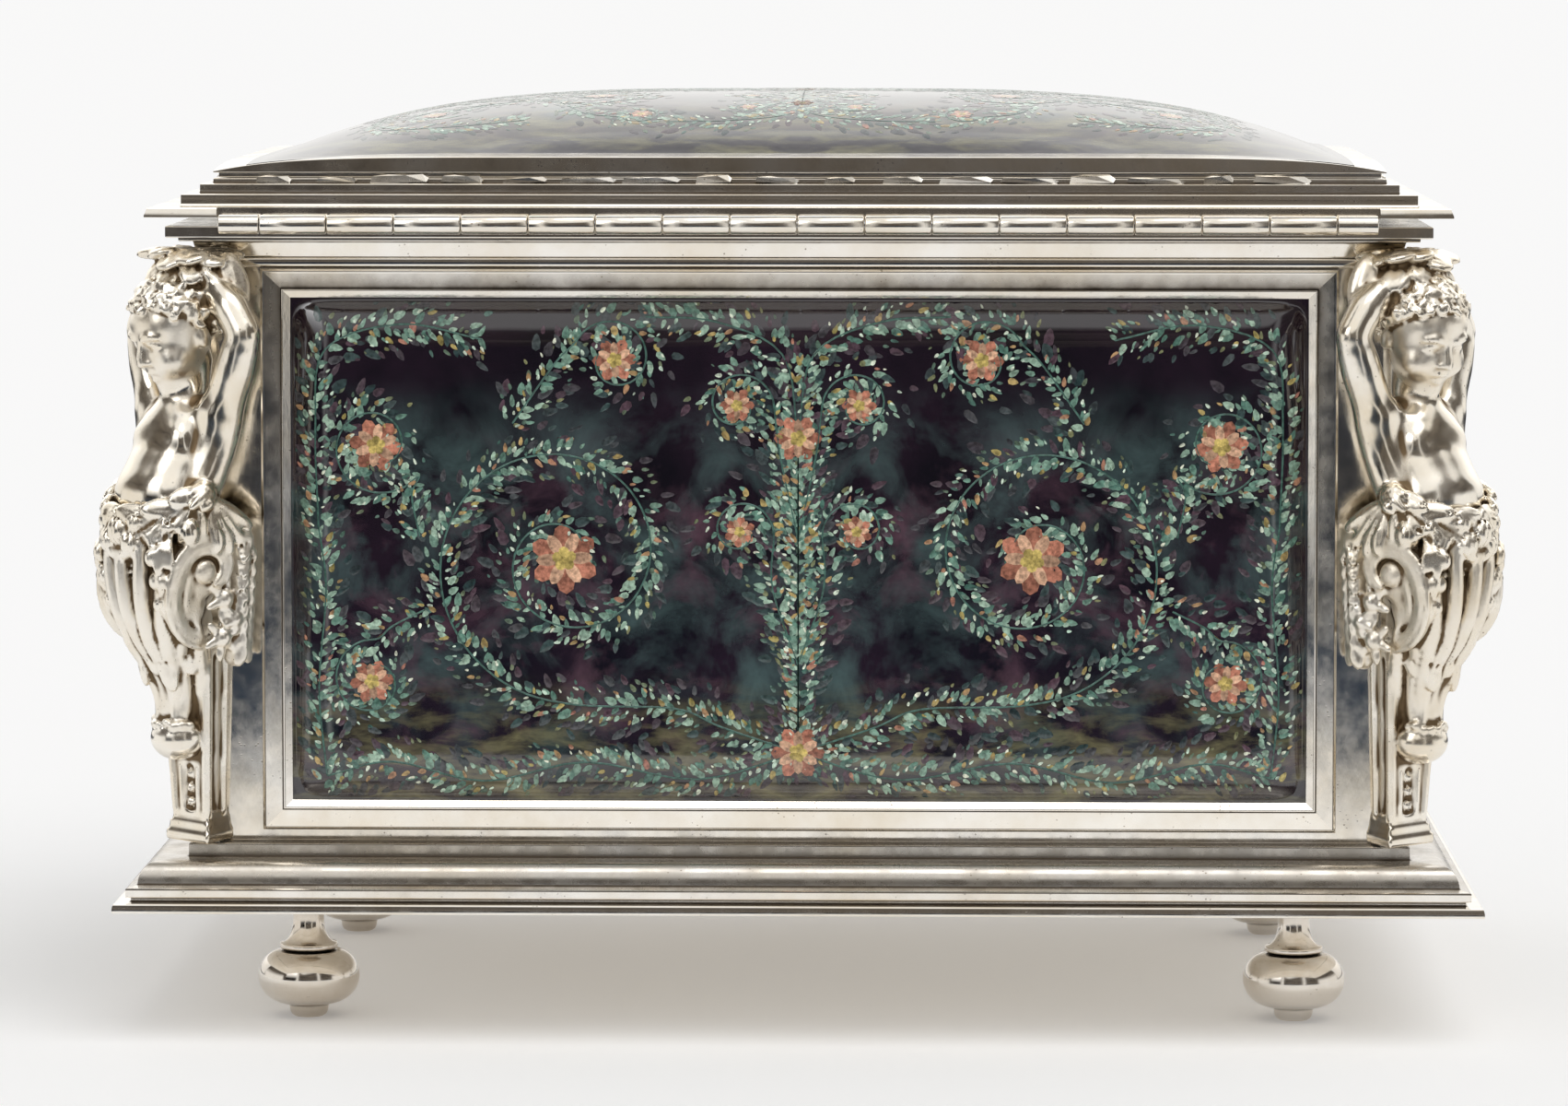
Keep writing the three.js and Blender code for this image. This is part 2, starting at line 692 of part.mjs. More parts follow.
const lockBottom = wallTop - lockHeight;
const lockBack = halfDepth - wallThickness - seam;
const lockBlock = span(-lockLength / 2, lockLength / 2, lockBack - lockDepth, lockBack, lockBottom, wallTop);
const lockRoom = span(-lockLength / 2 - fit, lockLength / 2 + fit, lockBack - lockDepth - fit, halfDepth,
  lockBottom - fit, corniceTop);

for (const side of sides) {
  const long = side.run === halfLength;
  const half = side.run - wallThickness - seam - (long ? 0 : liningThickness + seam);
  const face = side.across - liningFace;
  const board = span(-half, half, -(face + liningThickness), -face, floorTop + seam, wallTop);
  const lining = board.rotateZ(side.turn);
  add(`lining_${side.name}`, side.name === 'front' ? cut(lining, lockRoom) : lining, velvet);
}

// Lock: a block with a channel for the bolt, a pocket for the staple and room for the key's bit

const boltZ = corniceTop - boltDrop;
const keyZ = corniceTop - keyholeDrop;
const boltRest = -(stapleThickness / 2 + boltTipGap);
const stapleEye = span(-stapleThickness, stapleThickness, stapleY - boltWidth / 2 - fit,
  stapleY + boltWidth / 2 + fit, boltZ - boltHeight / 2 - fit, boltZ + boltHeight / 2 + fit);
const stapleFoot = boltZ - boltHeight / 2 - fit - stapleWall;

const boltChannel = span(boltRest - boltLength - fit, boltRest + boltTravel + fit, stapleY - boltWidth / 2 - fit,
  stapleY + boltWidth / 2 + fit, boltZ - boltHeight / 2 - fit, boltZ + boltHeight / 2 + fit);
const staplePocket = span(-(stapleThickness / 2 + stapleSwing), stapleThickness / 2 + stapleSwing,
  stapleY - stapleWidth / 2 - fit, stapleY + stapleWidth / 2 + stapleSwing, stapleFoot - fit, corniceTop);
const keyRoom = span(-keyholeLength, keyholeLength, stapleY - boltWidth / 2 - fit, stapleY + boltWidth / 2 + fit,
  keyZ - keyholeLength, boltZ);
add('lock_case', cut(lockBlock, boltChannel, staplePocket, keyRoom, keyhole), steel);

add('lock_bolt', span(boltRest - boltLength, boltRest, stapleY - boltWidth / 2, stapleY + boltWidth / 2,
  boltZ - boltHeight / 2, boltZ + boltHeight / 2), steel);

const escutcheonY = halfDepth + corniceBandReach + seam;
const escutcheon = rod('y', escutcheonRadius, escutcheonThickness, 20).scale(1, 1, escutcheonStretch);
escutcheon.translate(0, escutcheonY + escutcheonThickness / 2, keyZ - keyholeLength / 3);
add('keyhole_escutcheon', cut(escutcheon, keyhole), silver);

// Hinge: a row of knuckles shared by two leaves, and the pin through them

function knuckleSpans() {
  const lengths = [knuckleEndLength, ...Array(knuckleFullCount).fill(knucklePitch), knuckleEndLength];
  let start = -hingeLength / 2;
  return lengths.map((length) => {
    const from = start;
    start += length;
    return [from + knuckleGap / 2, start - knuckleGap / 2];
  });
}

// A leaf whose sheet lies between two heights, rolled round the pin at every second knuckle
function hingeLeaf(first, sheetBottom) {
  const sheetTop = sheetBottom + leafThickness;
  const rim = hingeY + barrelRadius + fit;
  const sheet = span(-hingeLength / 2, hingeLength / 2, rim, rim + leafWidth, sheetBottom, sheetTop);
  const knuckles = knuckleSpans().filter((_, i) => i % 2 === first).flatMap(([from, to]) => [
    rod('x', barrelRadius, to - from, 10).translate((from + to) / 2, hingeY, hingeZ),
    span(from, to, hingeY, rim + seam, sheetBottom, sheetTop),
  ]);
  const bore = rod('x', barrelBore, hingeLength + 1, 8).translate(0, hingeY, hingeZ);
  return cut(join(sheet, ...knuckles), bore);
}

add('hinge_leaf_body', hingeLeaf(0, corniceTop + seam / 2), hingeSilver);
add('hinge_leaf_lid', hingeLeaf(1, lidBottom - seam / 2 - leafThickness), hingeSilver);
add('hinge_pin', rod('x', pinRadius, hingeLength, 10).translate(0, hingeY, hingeZ), steel);

// Lid moulding, with a notch along the hinge side for the knuckles

const lidProfile = [
  [-lidMouldingInset, 0], [lidPlateReach - lidPlateThickness / 3, 0],
  ...quarter([lidPlateReach, lidPlateThickness / 3], [lidPlateReach - lidPlateThickness / 2, lidPlateThickness],
    [lidPlateReach, lidPlateThickness], 3),
  ...quarter([lidStepReach + 2 * lidPlateThickness / 3, lidPlateThickness], [lidStepReach, lidStepBottom],
    [lidStepReach, lidPlateThickness], 3),
  [lidStepReach, lidStepTop],
  ...quarter([lidCrownReach + lidPlateThickness / 2, lidStepTop], [lidCrownReach, lidCrownBottom],
    [lidCrownReach, lidStepTop], 3),
  [lidCrownTopReach, lidMouldingHeight], [-lidMouldingInset, lidMouldingHeight],
].map(([reach, height]) => [reach, lidBottom + height]);

const hingeNotch = span(-hingeLength / 2 - fit, hingeLength / 2 + fit, hingeY - barrelRadius - fit,
  hingeY + barrelRadius + fit, hingeZ - barrelRadius, lidBottom + lidPlateThickness + seam);

for (const { name, turn, run, across } of sides) {
  const length = mitredLength(lidProfile, run, across).rotateZ(turn);
  add(`lid_moulding_${name}`, name === 'back' ? cut(length, hingeNotch) : length, silver);
}

// Bezel: its top edge arches between the corners, and its lip holds the enamel dome down

const bezelHalfLength = halfLength + bezelReach;
const bezelHalfDepth = halfDepth + bezelReach;

function archHeight(x, y) {
  const along = 1 - (x / bezelHalfLength) ** 2;
  const across = 1 - (y / bezelHalfDepth) ** 2;
  return lidMouldingTop + bezelCornerHeight + bezelLongArch * along + bezelShortArch * across;
}

function bezelSection(x, y) {
  const top = archHeight(x, y);
  const foot = lidMouldingTop + seam;
  const profile = [
    [bezelNeck, foot], [bezelNeck, top - bezelFace], [0, top - bezelFace], [0, top - bezelSheet / 3],
    [bezelSheet / 3, top], [bezelWidth, top + bezelSheet / 2], [bezelWidth, top - bezelSheet / 2],
    [bezelNeck + bezelFootWidth, top - bezelSheet], [bezelNeck + bezelFootWidth, foot],
  ];
  return profile.map(([inset, z]) => [
    x * (1 - inset / bezelHalfLength),
    y * (1 - inset / bezelHalfDepth),
    z,
  ]);
}

function bezel() {
  const rim = [];
  const turns = [[1, -1, 0, 1], [1, 1, -1, 0], [-1, 1, 0, -1], [-1, -1, 1, 0]];
  for (const [x, y, alongX, alongY] of turns) {
    for (let step = 0; step < bezelSideSteps; step++) {
      const shift = 2 * step / bezelSideSteps;
      rim.push([(x + alongX * shift) * bezelHalfLength, (y + alongY * shift) * bezelHalfDepth]);
    }
  }
  return ringThrough(rim.map(([x, y]) => bezelSection(x, y)));
}
add('lid_bezel', bezel(), silver);

// Enamel dome: a shell that swells from a flat border under the bezel's lip

const domeHalfLength = bezelHalfLength - bezelWidth;
const domeHalfDepth = bezelHalfDepth - bezelWidth;

function swell(distance, half) {
  const share = Math.min(Math.abs(distance) / (half - fit), 1);
  return (1 - share ** domeRoundness) ** 1.1;
}

function domeTop(x, y) {
  const border = archHeight(x, y) - bezelSheet - fit;
  return border + (domeRise + bezelSheet) * swell(x, domeHalfLength) * swell(y, domeHalfDepth);
}

function domeLines(half) {
  const shares = [0.95, 0.87, 0.75, 0.55, 0.2];
  return mirrored([half + domeTuck, half - fit, ...shares.map((share) => share * half)]);
}
add('lid_enamel_dome', slab(domeLines(domeHalfLength), domeLines(domeHalfDepth), domeTop,
  (x, y) => domeTop(x, y) - domeSheet), enamel);

// Lid board, pad and the staple that the bolt enters

const boardHalfLength = halfLength - lidMouldingInset - fit;
const boardHalfDepth = halfDepth - lidMouldingInset - fit;
const boardBottom = lidBottom + fit;
add('lid_board', span(-boardHalfLength, boardHalfLength, -boardHalfDepth, boardHalfDepth,
  boardBottom, boardBottom + lidBoardThickness), card);

const padHalfLength = halfLength - corniceLip - lidPadGap;
const padHalfDepth = stapleY - stapleWidth / 2 - lidPadGap / 2;
const padTop = boardBottom - seam;
function padBottom(x, y) {
  const along = 1 - (x / padHalfLength) ** 4;
  const across = 1 - (y / padHalfDepth) ** 4;
  return padTop - lidPadThickness + lidPadCrown * (1 - along * across);
}
const padShares = [1, 0.92, 0.6];
add('lid_pad', slab(mirrored(padShares.map((share) => share * padHalfLength)),
  mirrored(padShares.map((share) => share * padHalfDepth)), () => padTop, padBottom), velvet);

const stapleTop = lidBottom - seam;
const staplePlate = span(-staplePlateLength / 2, staplePlateLength / 2, stapleY - stapleWidth / 2,
  stapleY + stapleWidth / 2, stapleTop - staplePlateThickness, stapleTop);
const stapleBlade = span(-stapleThickness / 2, stapleThickness / 2, stapleY - stapleWidth / 2,
  stapleY + stapleWidth / 2, stapleFoot, stapleTop);
add('lid_staple', cut(join(staplePlate, stapleBlade), stapleEye), steel);

export default casket;
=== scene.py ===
"""Looks of the enamel jewellery casket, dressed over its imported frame. Frame units are metres."""
import math

import bmesh
import bpy
import numpy as np
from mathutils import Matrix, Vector
from mathutils.kdtree import KDTree


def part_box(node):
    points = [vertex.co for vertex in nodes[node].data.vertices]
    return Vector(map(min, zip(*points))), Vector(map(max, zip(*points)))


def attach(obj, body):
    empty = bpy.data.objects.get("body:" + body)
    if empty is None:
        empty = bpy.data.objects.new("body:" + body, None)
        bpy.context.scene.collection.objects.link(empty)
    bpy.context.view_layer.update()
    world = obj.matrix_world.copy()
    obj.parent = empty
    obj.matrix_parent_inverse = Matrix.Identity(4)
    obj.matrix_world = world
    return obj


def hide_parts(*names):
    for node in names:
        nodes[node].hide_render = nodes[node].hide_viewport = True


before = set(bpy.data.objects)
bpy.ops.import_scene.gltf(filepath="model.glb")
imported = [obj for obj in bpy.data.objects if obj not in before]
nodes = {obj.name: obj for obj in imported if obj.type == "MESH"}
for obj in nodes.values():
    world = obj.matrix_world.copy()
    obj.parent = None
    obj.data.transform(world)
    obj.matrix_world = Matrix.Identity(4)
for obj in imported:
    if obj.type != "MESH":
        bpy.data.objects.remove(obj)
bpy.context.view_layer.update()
scene = bpy.context.scene
scene.view_settings.view_transform = "Standard"

# Camera of the photograph: a long lens a little above the lid and just right of the middle,
# with a small falling shift that keeps the casket's upright edges upright.
PHOTO_WIDTH = 1702
FOCAL_PIXELS = 6716
FALL = 0.1
lens = bpy.data.cameras.new("photo_camera")
lens.sensor_width = 36
lens.lens = lens.sensor_width * FOCAL_PIXELS / PHOTO_WIDTH
lens.shift_y = -FALL
lens.clip_start = 0.02
camera = bpy.data.objects.new("photo_camera", lens)
camera.rotation_euler = (math.radians(90 - 4.154), 0, math.radians(1.417))
camera.location = (0.0213, -1.0071, 0.1680)
scene.collection.objects.link(camera)
scene.camera = camera


# Studio: a pale paper floor that glows a little, under a white tent and one soft round lamp. Dark cards with
# gaps stand round the casket, with a bright box behind and above it and one at its left, for polished metal
# and enamel to mirror; only reflections see them.
def fill(tree, made, inputs):
    """Gives a node's sockets values, or links from other nodes' outputs."""
    for key, value in inputs.items():
        if isinstance(value, bpy.types.NodeSocket):
            tree.links.new(value, made.inputs[key])
        else:
            made.inputs[key].default_value = value


def node(tree, kind, inputs=None, **settings):
    """Adds a shader or geometry node with its settings made and its sockets filled."""
    made = tree.nodes.new(kind)
    for key, value in settings.items():
        setattr(made, key, value)
    fill(tree, made, inputs or {})
    return made


def math_node(tree, operation, first, second=0.0, third=0.0, clamp=False):
    inputs = {0: first, 1: second, 2: third}
    return node(tree, "ShaderNodeMath", inputs, operation=operation, use_clamp=clamp).outputs[0]


def ramp(tree, value, low=0.0, high=1.0, start=0.0, end=1.0, smooth=False):
    """Carries a value from the range low to high over to the range start to end, and stops at its ends."""
    return node(tree, "ShaderNodeMapRange", {0: value, 1: low, 2: high, 3: start, 4: end},
                interpolation_type="SMOOTHSTEP" if smooth else "LINEAR").outputs[0]


def mixed(tree, share, first, second):
    """A colour between two others."""
    return node(tree, "ShaderNodeMix", {0: share, 6: first, 7: second}, data_type="RGBA").outputs[2]


def noise(tree, where, scale, detail, **more):
    inputs = {"Vector": where, "Scale": scale, "Detail": detail, **more}
    return node(tree, "ShaderNodeTexNoise", inputs).outputs[0]


def new_finish(name, bare=False):
    """A material, its node tree and each point's place on its piece; a bare one has no surface shader yet."""
    finish = bpy.data.materials.new(name)
    finish.use_nodes = True
    tree = finish.node_tree
    if bare:
        tree.nodes.clear()
    return finish, tree, node(tree, "ShaderNodeTexCoord").outputs["Object"]


def surface(tree, inputs):
    """Fills the sockets of a finish's surface shader."""
    fill(tree, tree.nodes["Principled BSDF"], inputs)


world = bpy.data.worlds.new("white_tent")
scene.world = world
world.use_nodes = True
sky = world.node_tree
sky.nodes.clear()
path = node(sky, "ShaderNodeLightPath").outputs
mirrored_or_seen = math_node(sky, "MAXIMUM", path["Is Camera Ray"], path["Is Glossy Ray"])
tent_seen = math_node(sky, "MAXIMUM", mirrored_or_seen, path["Is Transmission Ray"])
tent = node(sky, "ShaderNodeBackground", {"Color": (1, 1, 1, 1), "Strength": 0.96}).outputs[0]
fill_light = node(sky, "ShaderNodeBackground", {"Color": (1, 1, 1, 1), "Strength": 0.57}).outputs[0]
blend = node(sky, "ShaderNodeMixShader", {0: tent_seen, 1: fill_light, 2: tent}).outputs[0]
node(sky, "ShaderNodeOutputWorld", {"Surface": blend})

lamp = bpy.data.lights.new("soft_lamp", "SUN")
lamp.energy = 0.97
lamp.angle = math.radians(50)
lamp_stand = bpy.data.objects.new("soft_lamp", lamp)
lamp_stand.rotation_euler = (math.radians(26), math.radians(18), 0)
scene.collection.objects.link(lamp_stand)


def stage_mesh(name, points, faces, material):
    mesh = bpy.data.meshes.new(name)
    mesh.from_pydata(points, [], faces)
    mesh.materials.append(material)
    made = bpy.data.objects.new(name, mesh)
    scene.collection.objects.link(made)
    return made


paper, tree, coords = new_finish("pale_floor")
fibres = noise(tree, coords, 900.0, 3.0)
shade = ramp(tree, fibres, start=0.95, end=0.98)
tint = node(tree, "ShaderNodeCombineColor", {0: shade, 1: shade, 2: shade}).outputs[0]
surface(tree, {"Base Color": tint, "Roughness": 0.85, "Specular IOR Level": 0.0,
               "Emission Color": (1, 0.98, 0.96, 1), "Emission Strength": 0.14})
FAR = 150
stage_mesh("floor", [(-FAR, -FAR, 0), (FAR, -FAR, 0), (FAR, FAR, 0), (-FAR, FAR, 0)], [(0, 1, 2, 3)], paper)

CARD_NEAR, CARD_FAR, CARD_HEIGHT, CARD_STEPS = 0.28, 1.25, 1.9, 96
card, tree, coords = new_finish("dark_card", bare=True)
along = node(tree, "ShaderNodeSeparateXYZ", {0: coords}).outputs
level = node(tree, "ShaderNodeCombineXYZ", {0: along["X"], 1: along["Y"]}).outputs[0]
away = node(tree, "ShaderNodeVectorMath", {0: level}, operation="LENGTH").outputs[1]
# bearing and half width in degrees, and height
WINDOWS = ((186, 28, 0.3), (354, 28, 0.3), (246, 3, 2.0), (294, 3, 2.0))
bearing = math_node(tree, "ARCTAN2", along["Y"], along["X"])
gap = 0.0
for middle, half, tall in WINDOWS:
    turned_by = math_node(tree, "SUBTRACT", bearing, math.radians(middle))
    aside = math_node(tree, "ARCCOSINE", math_node(tree, "COSINE", turned_by))
    pane = ramp(tree, aside, math.radians(half + 3), math.radians(half - 3), smooth=True)
    below = ramp(tree, along["Z"], tall + 0.1, tall - 0.1)
    gap = math_node(tree, "MAXIMUM", gap, math_node(tree, "MULTIPLY", pane, below))
drift = noise(tree, coords, 1.3, 1.0)
diagonal = math_node(tree, "COSINE", math_node(tree, "MULTIPLY", bearing, 4.0))
shoulder = ramp(tree, diagonal, 0.5, -0.6, 0.2, 0.9, smooth=True)
front = ramp(tree, along["Y"], 0.55, 0.15, smooth=True)
flank = ramp(tree, math_node(tree, "ABSOLUTE", along["X"]), 0.8, 1.1, 0.0, 0.5)
uneven = math_node(tree, "MULTIPLY_ADD", drift, 0.9, math_node(tree, "ADD", shoulder, flank))
edge = math_node(tree, "MULTIPLY_ADD", uneven, front, 0.02)
fade = math_node(tree, "MULTIPLY_ADD", front, 0.10, 0.02)
over = math_node(tree, "DIVIDE", math_node(tree, "SUBTRACT", along["Z"], edge), fade)
top = ramp(tree, over, -0.9, 1.0, smooth=True)
start = ramp(tree, away, 0.385, 0.335, smooth=True)
pale = math_node(tree, "MAXIMUM", math_node(tree, "MAXIMUM", gap, top), start)
dusk = ramp(tree, away, 0.45, 0.9)
floor_tone = mixed(tree, dusk, (0.028, 0.042, 0.066, 1), (0.034, 0.036, 0.042, 1))
layered = node(tree, "ShaderNodeMapping", {"Vector": coords, "Scale": (2.0, 2.0, 26.0)}).outputs[0]
wall_mix = noise(tree, layered, 1.0, 2.0)
wall_tone = mixed(tree, ramp(tree, wall_mix, 0.35, 0.68), (0.045, 0.040, 0.036, 1), (0.21, 0.185, 0.16, 1))
standing = ramp(tree, along["Z"], 0.045, 0.07)
dark = mixed(tree, standing, floor_tone, wall_tone)
card_tone = mixed(tree, pale, dark, (0.92, 0.91, 0.89, 1))
behind = ramp(tree, along["Y"], 0.5, 1.0)
raised = ramp(tree, along["Z"], 0.1, 0.7)
lit = math_node(tree, "MULTIPLY_ADD", behind, raised, 1.0)
glow = node(tree, "ShaderNodeEmission", {"Color": card_tone, "Strength": lit}).outputs[0]
node(tree, "ShaderNodeOutputMaterial", {"Surface": glow})
points, faces = [], []
for step in range(CARD_STEPS):
    angle = 2 * math.pi * step / CARD_STEPS
    for distance, up in ((CARD_NEAR, 0.001), (CARD_FAR, 0.001), (CARD_FAR, CARD_HEIGHT)):
        points.append((distance * math.cos(angle), distance * math.sin(angle), up))
    a, b = 3 * step, 3 * ((step + 1) % CARD_STEPS)
    faces += [(a, a + 1, b + 1, b), (a + 1, a + 2, b + 2, b + 1)]
cards = stage_mesh("dark_cards", points, faces, card)


def bright_box(name, corners, axis, low, high, strength):
    """A soft box that only reflections see; its light grows along an axis from low to high."""
    finish, tree, coords = new_finish(name, bare=True)
    place = node(tree, "ShaderNodeSeparateXYZ", {0: coords}).outputs[axis]
    power = ramp(tree, place, low, high, end=strength)
    glow = node(tree, "ShaderNodeEmission", {"Strength": power}).outputs[0]
    node(tree, "ShaderNodeOutputMaterial", {"Surface": glow})
    return stage_mesh(name, corners, [(3, 2, 1, 0)], finish)


back_box = bright_box("back_box", [(-2.4, 0.2, 1.7), (2.4, 0.2, 1.7), (2.4, 2.4, 1.7), (-2.4, 2.4, 1.7)],
                      "Y", 0.6, 1.15, 2.0)
left_box = bright_box("left_box", [(-0.62, -0.52, 0.05), (-0.36, -0.72, 0.05), (-0.36, -0.72, 0.85),
                                   (-0.62, -0.52, 0.85)], "Z", 0.1, 0.8, 4.5)
for unseen in (cards, back_box, left_box):
    for way in ("camera", "diffuse", "shadow", "transmission"):
        setattr(unseen, f"visible_{way}", False)

# Feet: four turned and silvered ball feet, each with a flange and a flared neck under the plinth, and
# a stud that passes through the base plate to a nut inside.
MM = 0.001  # lengths from here on are in millimetres until a mesh is made


def bump(tree, height, strength, depth, **more):
    inputs = {"Height": height, "Strength": strength, "Distance": depth, **more}
    return node(tree, "ShaderNodeBump", inputs).outputs[0]


def silver_plate(name, polish, ripple, film=(0.105, 0.083, 0.062, 1), rubbed_tone=(0.93, 0.895, 0.835, 1),
                 worn_tone=(0.815, 0.74, 0.62, 1)):
    """Warm silver plate: cloudy polish, fine scratches, pits, and a dark film (tarnish, painted shade) where
    marked hollow.
    """
    finish, tree, coords = new_finish(name)
    cloud = noise(tree, coords, 55.0, 6.0, Roughness=0.62)
    smear = noise(tree, coords, 210.0, 4.0, Roughness=0.6)
    spots = node(tree, "ShaderNodeTexVoronoi", {"Vector": coords, "Scale": 1300.0}).outputs[0]
    spotted = ramp(tree, spots, 0.12, 0.20, 1.0, 0.0)
    patches = ramp(tree, smear, 0.54, 0.66)
    specks = math_node(tree, "MULTIPLY", spotted, patches)
    hollow = node(tree, "ShaderNodeAttribute", attribute_name="hollow").outputs["Fac"]
    stain = math_node(tree, "MULTIPLY_ADD", smear, 0.9, -0.32)
    # dark film from the hollow mark: real tarnish in hollows, and painted shade where a piece marks it so
    film_and_painted_shade = math_node(tree, "MULTIPLY_ADD", hollow, 1.15, stain)
    film_and_painted_shade = math_node(tree, "MULTIPLY", film_and_painted_shade, hollow, clamp=True)
    warmth = ramp(tree, cloud, 0.38, 0.68)
    metal = mixed(tree, warmth, rubbed_tone, worn_tone)
    speckled = mixed(tree, specks, metal, (0.36, 0.30, 0.23, 1))
    colour = mixed(tree, film_and_painted_shade, speckled, film)
    dull = ramp(tree, smear, 0.35, 0.75, polish, polish + 0.13)
    frost = node(tree, "ShaderNodeAttribute", attribute_name="dull").outputs["Fac"]
    frosted = math_node(tree, "MULTIPLY_ADD", frost, 0.36, dull)
    rough = math_node(tree, "MULTIPLY_ADD", film_and_painted_shade, 0.30, frosted, clamp=True)
    wave = noise(tree, coords, 75.0, 1.0)
    rubbing = node(tree, "ShaderNodeMapping", {
        "Vector": coords, "Rotation": (0.3, 0.5, 0.4), "Scale": (1500.0, 80.0, 420.0)}).outputs[0]
    scratch = noise(tree, rubbing, 1.0, 3.0)
    dented = bump(tree, wave, ripple, 0.0004)
    rubbed = bump(tree, scratch, 0.5, 0.000012, Normal=dented)
    pitted = bump(tree, specks, 0.35, -0.00003, Normal=rubbed)
    grain = noise(tree, coords, 2600.0, 2.0)
    frosty = bump(tree, grain, math_node(tree, "POWER", frost, 2.0), 0.0001, Normal=pitted)
    surface(tree, {"Metallic": 1.0, "Base Color": colour, "Roughness": rough, "Normal": frosty})
    return finish


def plain_object(name, points, faces, edges=()):
    """A mesh object whose faces point outwards."""
    mesh = bpy.data.meshes.new(name)
    mesh.from_pydata(np.asarray(points, float).tolist(), edges, faces)
    shape = bmesh.new()
    shape.from_mesh(mesh)
    bmesh.ops.recalc_face_normals(shape, faces=shape.faces)
    shape.to_mesh(mesh)
    shape.free()
    made = bpy.data.objects.new(name, mesh)
    scene.collection.objects.link(made)
    return made


def mark(made, label, values):
    """Gives each point of a piece a value that its finish or a node tree reads."""
    marks = made.data.attributes.new(label, "FLOAT", "POINT").data
    marks.foreach_set("value", np.asarray(values, np.float32))


def ready(made, stands_for, body, crease=32):
    """Shades a piece smooth up to the crease angle and enters it, in place of a CAD node if it has one."""
    made.data.shade_smooth()
    made.data.set_sharp_from_angle(angle=math.radians(crease))
    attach(made, body)
    if stands_for:
        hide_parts(stands_for)


def piece(name, points, faces, finish, body, crease=32, hollow=None, dull=None, replaces=True):
    """A rigid piece from millimetre points, with its shares of dark film (tarnish and painted shade) and of
    dull finish at each point.
    """
    made = plain_object(name, np.asarray(points, float) * MM, faces)
    made.data.materials.append(finish)
    for label, values in (("hollow", hollow), ("dull", dull)):
        if values is not None:
            mark(made, label, values)
    ready(made, name if replaces else None, body, crease)
    return made


def quarter(start, end, corner, steps=7):
    """Quarter of an ellipse between two points of a section, bulging towards the corner between them."""
    start, end = np.array(start, float), np.array(end, float)
    middle = start + end - np.array(corner, float)
    turns = np.linspace(0, math.pi / 2, steps + 1)
    return [tuple(middle + (start - middle) * math.cos(t) + (end - middle) * math.sin(t)) for t in turns]


def eased(section, radius, film=0.28):
    """Softens a section's corners, and gives each point's share of tarnish, gathered in inner corners."""
    points, hollow = [], []
    for i, here in enumerate(section):
        here = Vector(here)
        back, ahead = Vector(section[i - 1]) - here, Vector(section[(i + 1) % len(section)]) - here
        turn = math.atan2((-back).cross(ahead), (-back).dot(ahead))
        if abs(turn) < math.radians(24):
            points.append(here)
            hollow.append(0)
            continue
        shorter = min(back.length, ahead.length)
        back.normalize()
        ahead.normalize()
        cut = min(radius, 0.3 * shorter)
        soft = [here + back * cut, here + (back + ahead) * cut / 4, here + ahead * cut]
        beside = min(cut + 0.04, 0.45 * shorter) if turn > 0 else min(cut + film, 0.48 * shorter)
        points += [here + back * beside, *soft, here + ahead * beside]
        hollow += [0, 0, 0, 0, 0] if turn > 0 else [0, 0.8, 1, 0.8, 0]
    return [tuple(p) for p in points], hollow


def turned(section, x, y, segments=72):
    """Points and faces of a solid turned from (radius, height) points that start and end on its axis."""
    angles = np.linspace(0, 2 * math.pi, segments, endpoint=False)
    rings = section[1:-1]
    points = [(x, y, section[0][1]), (x, y, section[-1][1])]
    for radius, up in rings:
        points += [(x + radius * math.cos(a), y + radius * math.sin(a), up) for a in angles]
    faces = []
    for j in range(segments):
        k = (j + 1) % segments
        faces.append((0, 2 + k, 2 + j))
        last = 2 + (len(rings) - 1) * segments
        faces.append((1, last + j, last + k))
        for i in range(len(rings) - 1):
            a, b = 2 + i * segments, 2 + (i + 1) * segments
            faces.append((a + j, a + k, b + k, b + j))
    return points, faces


CORNERS = {"back_left": (-1, -1), "back_right": (1, -1), "front_right": (1, 1), "front_left": (-1, 1)}
FOOT_X, FOOT_Y, FOOT_HEIGHT, STUD_TOP = 77.5, 42.5, 20.2, 24.35
foot_section = [
    (0, 0), (2.4, 0), *quarter((2.4, 0.05), (3.1, 1.5), (3.1, 0.05), 3), (3.3, 2.05),
    *quarter((3.6, 2.05), (8.0, 6.3), (8.0, 2.05), 12),
    *quarter((8.0, 6.3), (4.2, 10.45), (8.0, 10.45), 12)[1:],
    (3.9, 10.65), (4.3, 10.72), *quarter((4.3, 10.72), (4.6, 11.05), (4.6, 10.72), 3),
    *quarter((4.6, 11.3), (4.4, 11.58), (4.6, 11.58), 3),
    *quarter((4.3, 11.62), (2.45, 15.6), (2.45, 11.62), 10),
    (2.45, 18.3), (2.33, 18.4), (2.33, 18.55), (2.5, 18.65), (2.5, FOOT_HEIGHT),
    (1.5, FOOT_HEIGHT), (1.5, STUD_TOP), (0, STUD_TOP),
]
foot_hollow_heights = (2.05, 10.65, 18.45)
# painted shade: the feet's silver has darker rubbed and worn tones than the rest, for the shade under the
# casket
foot_silver_painted_shade = silver_plate("turned_silver_painted_shade", polish=0.07, ripple=0.05, rubbed_tone=(0.80, 0.75, 0.68, 1),
                           worn_tone=(0.66, 0.58, 0.48, 1))
for corner, (x, y) in CORNERS.items():
    points, faces = turned(foot_section, x * FOOT_X, y * FOOT_Y)
    near_groove = [max(0.0, 1 - min(abs(p[2] - h) for h in foot_hollow_heights) / 0.35) for p in points]
    piece(f"foot_{corner}", points, faces, foot_silver_painted_shade, "body", hollow=near_groove)


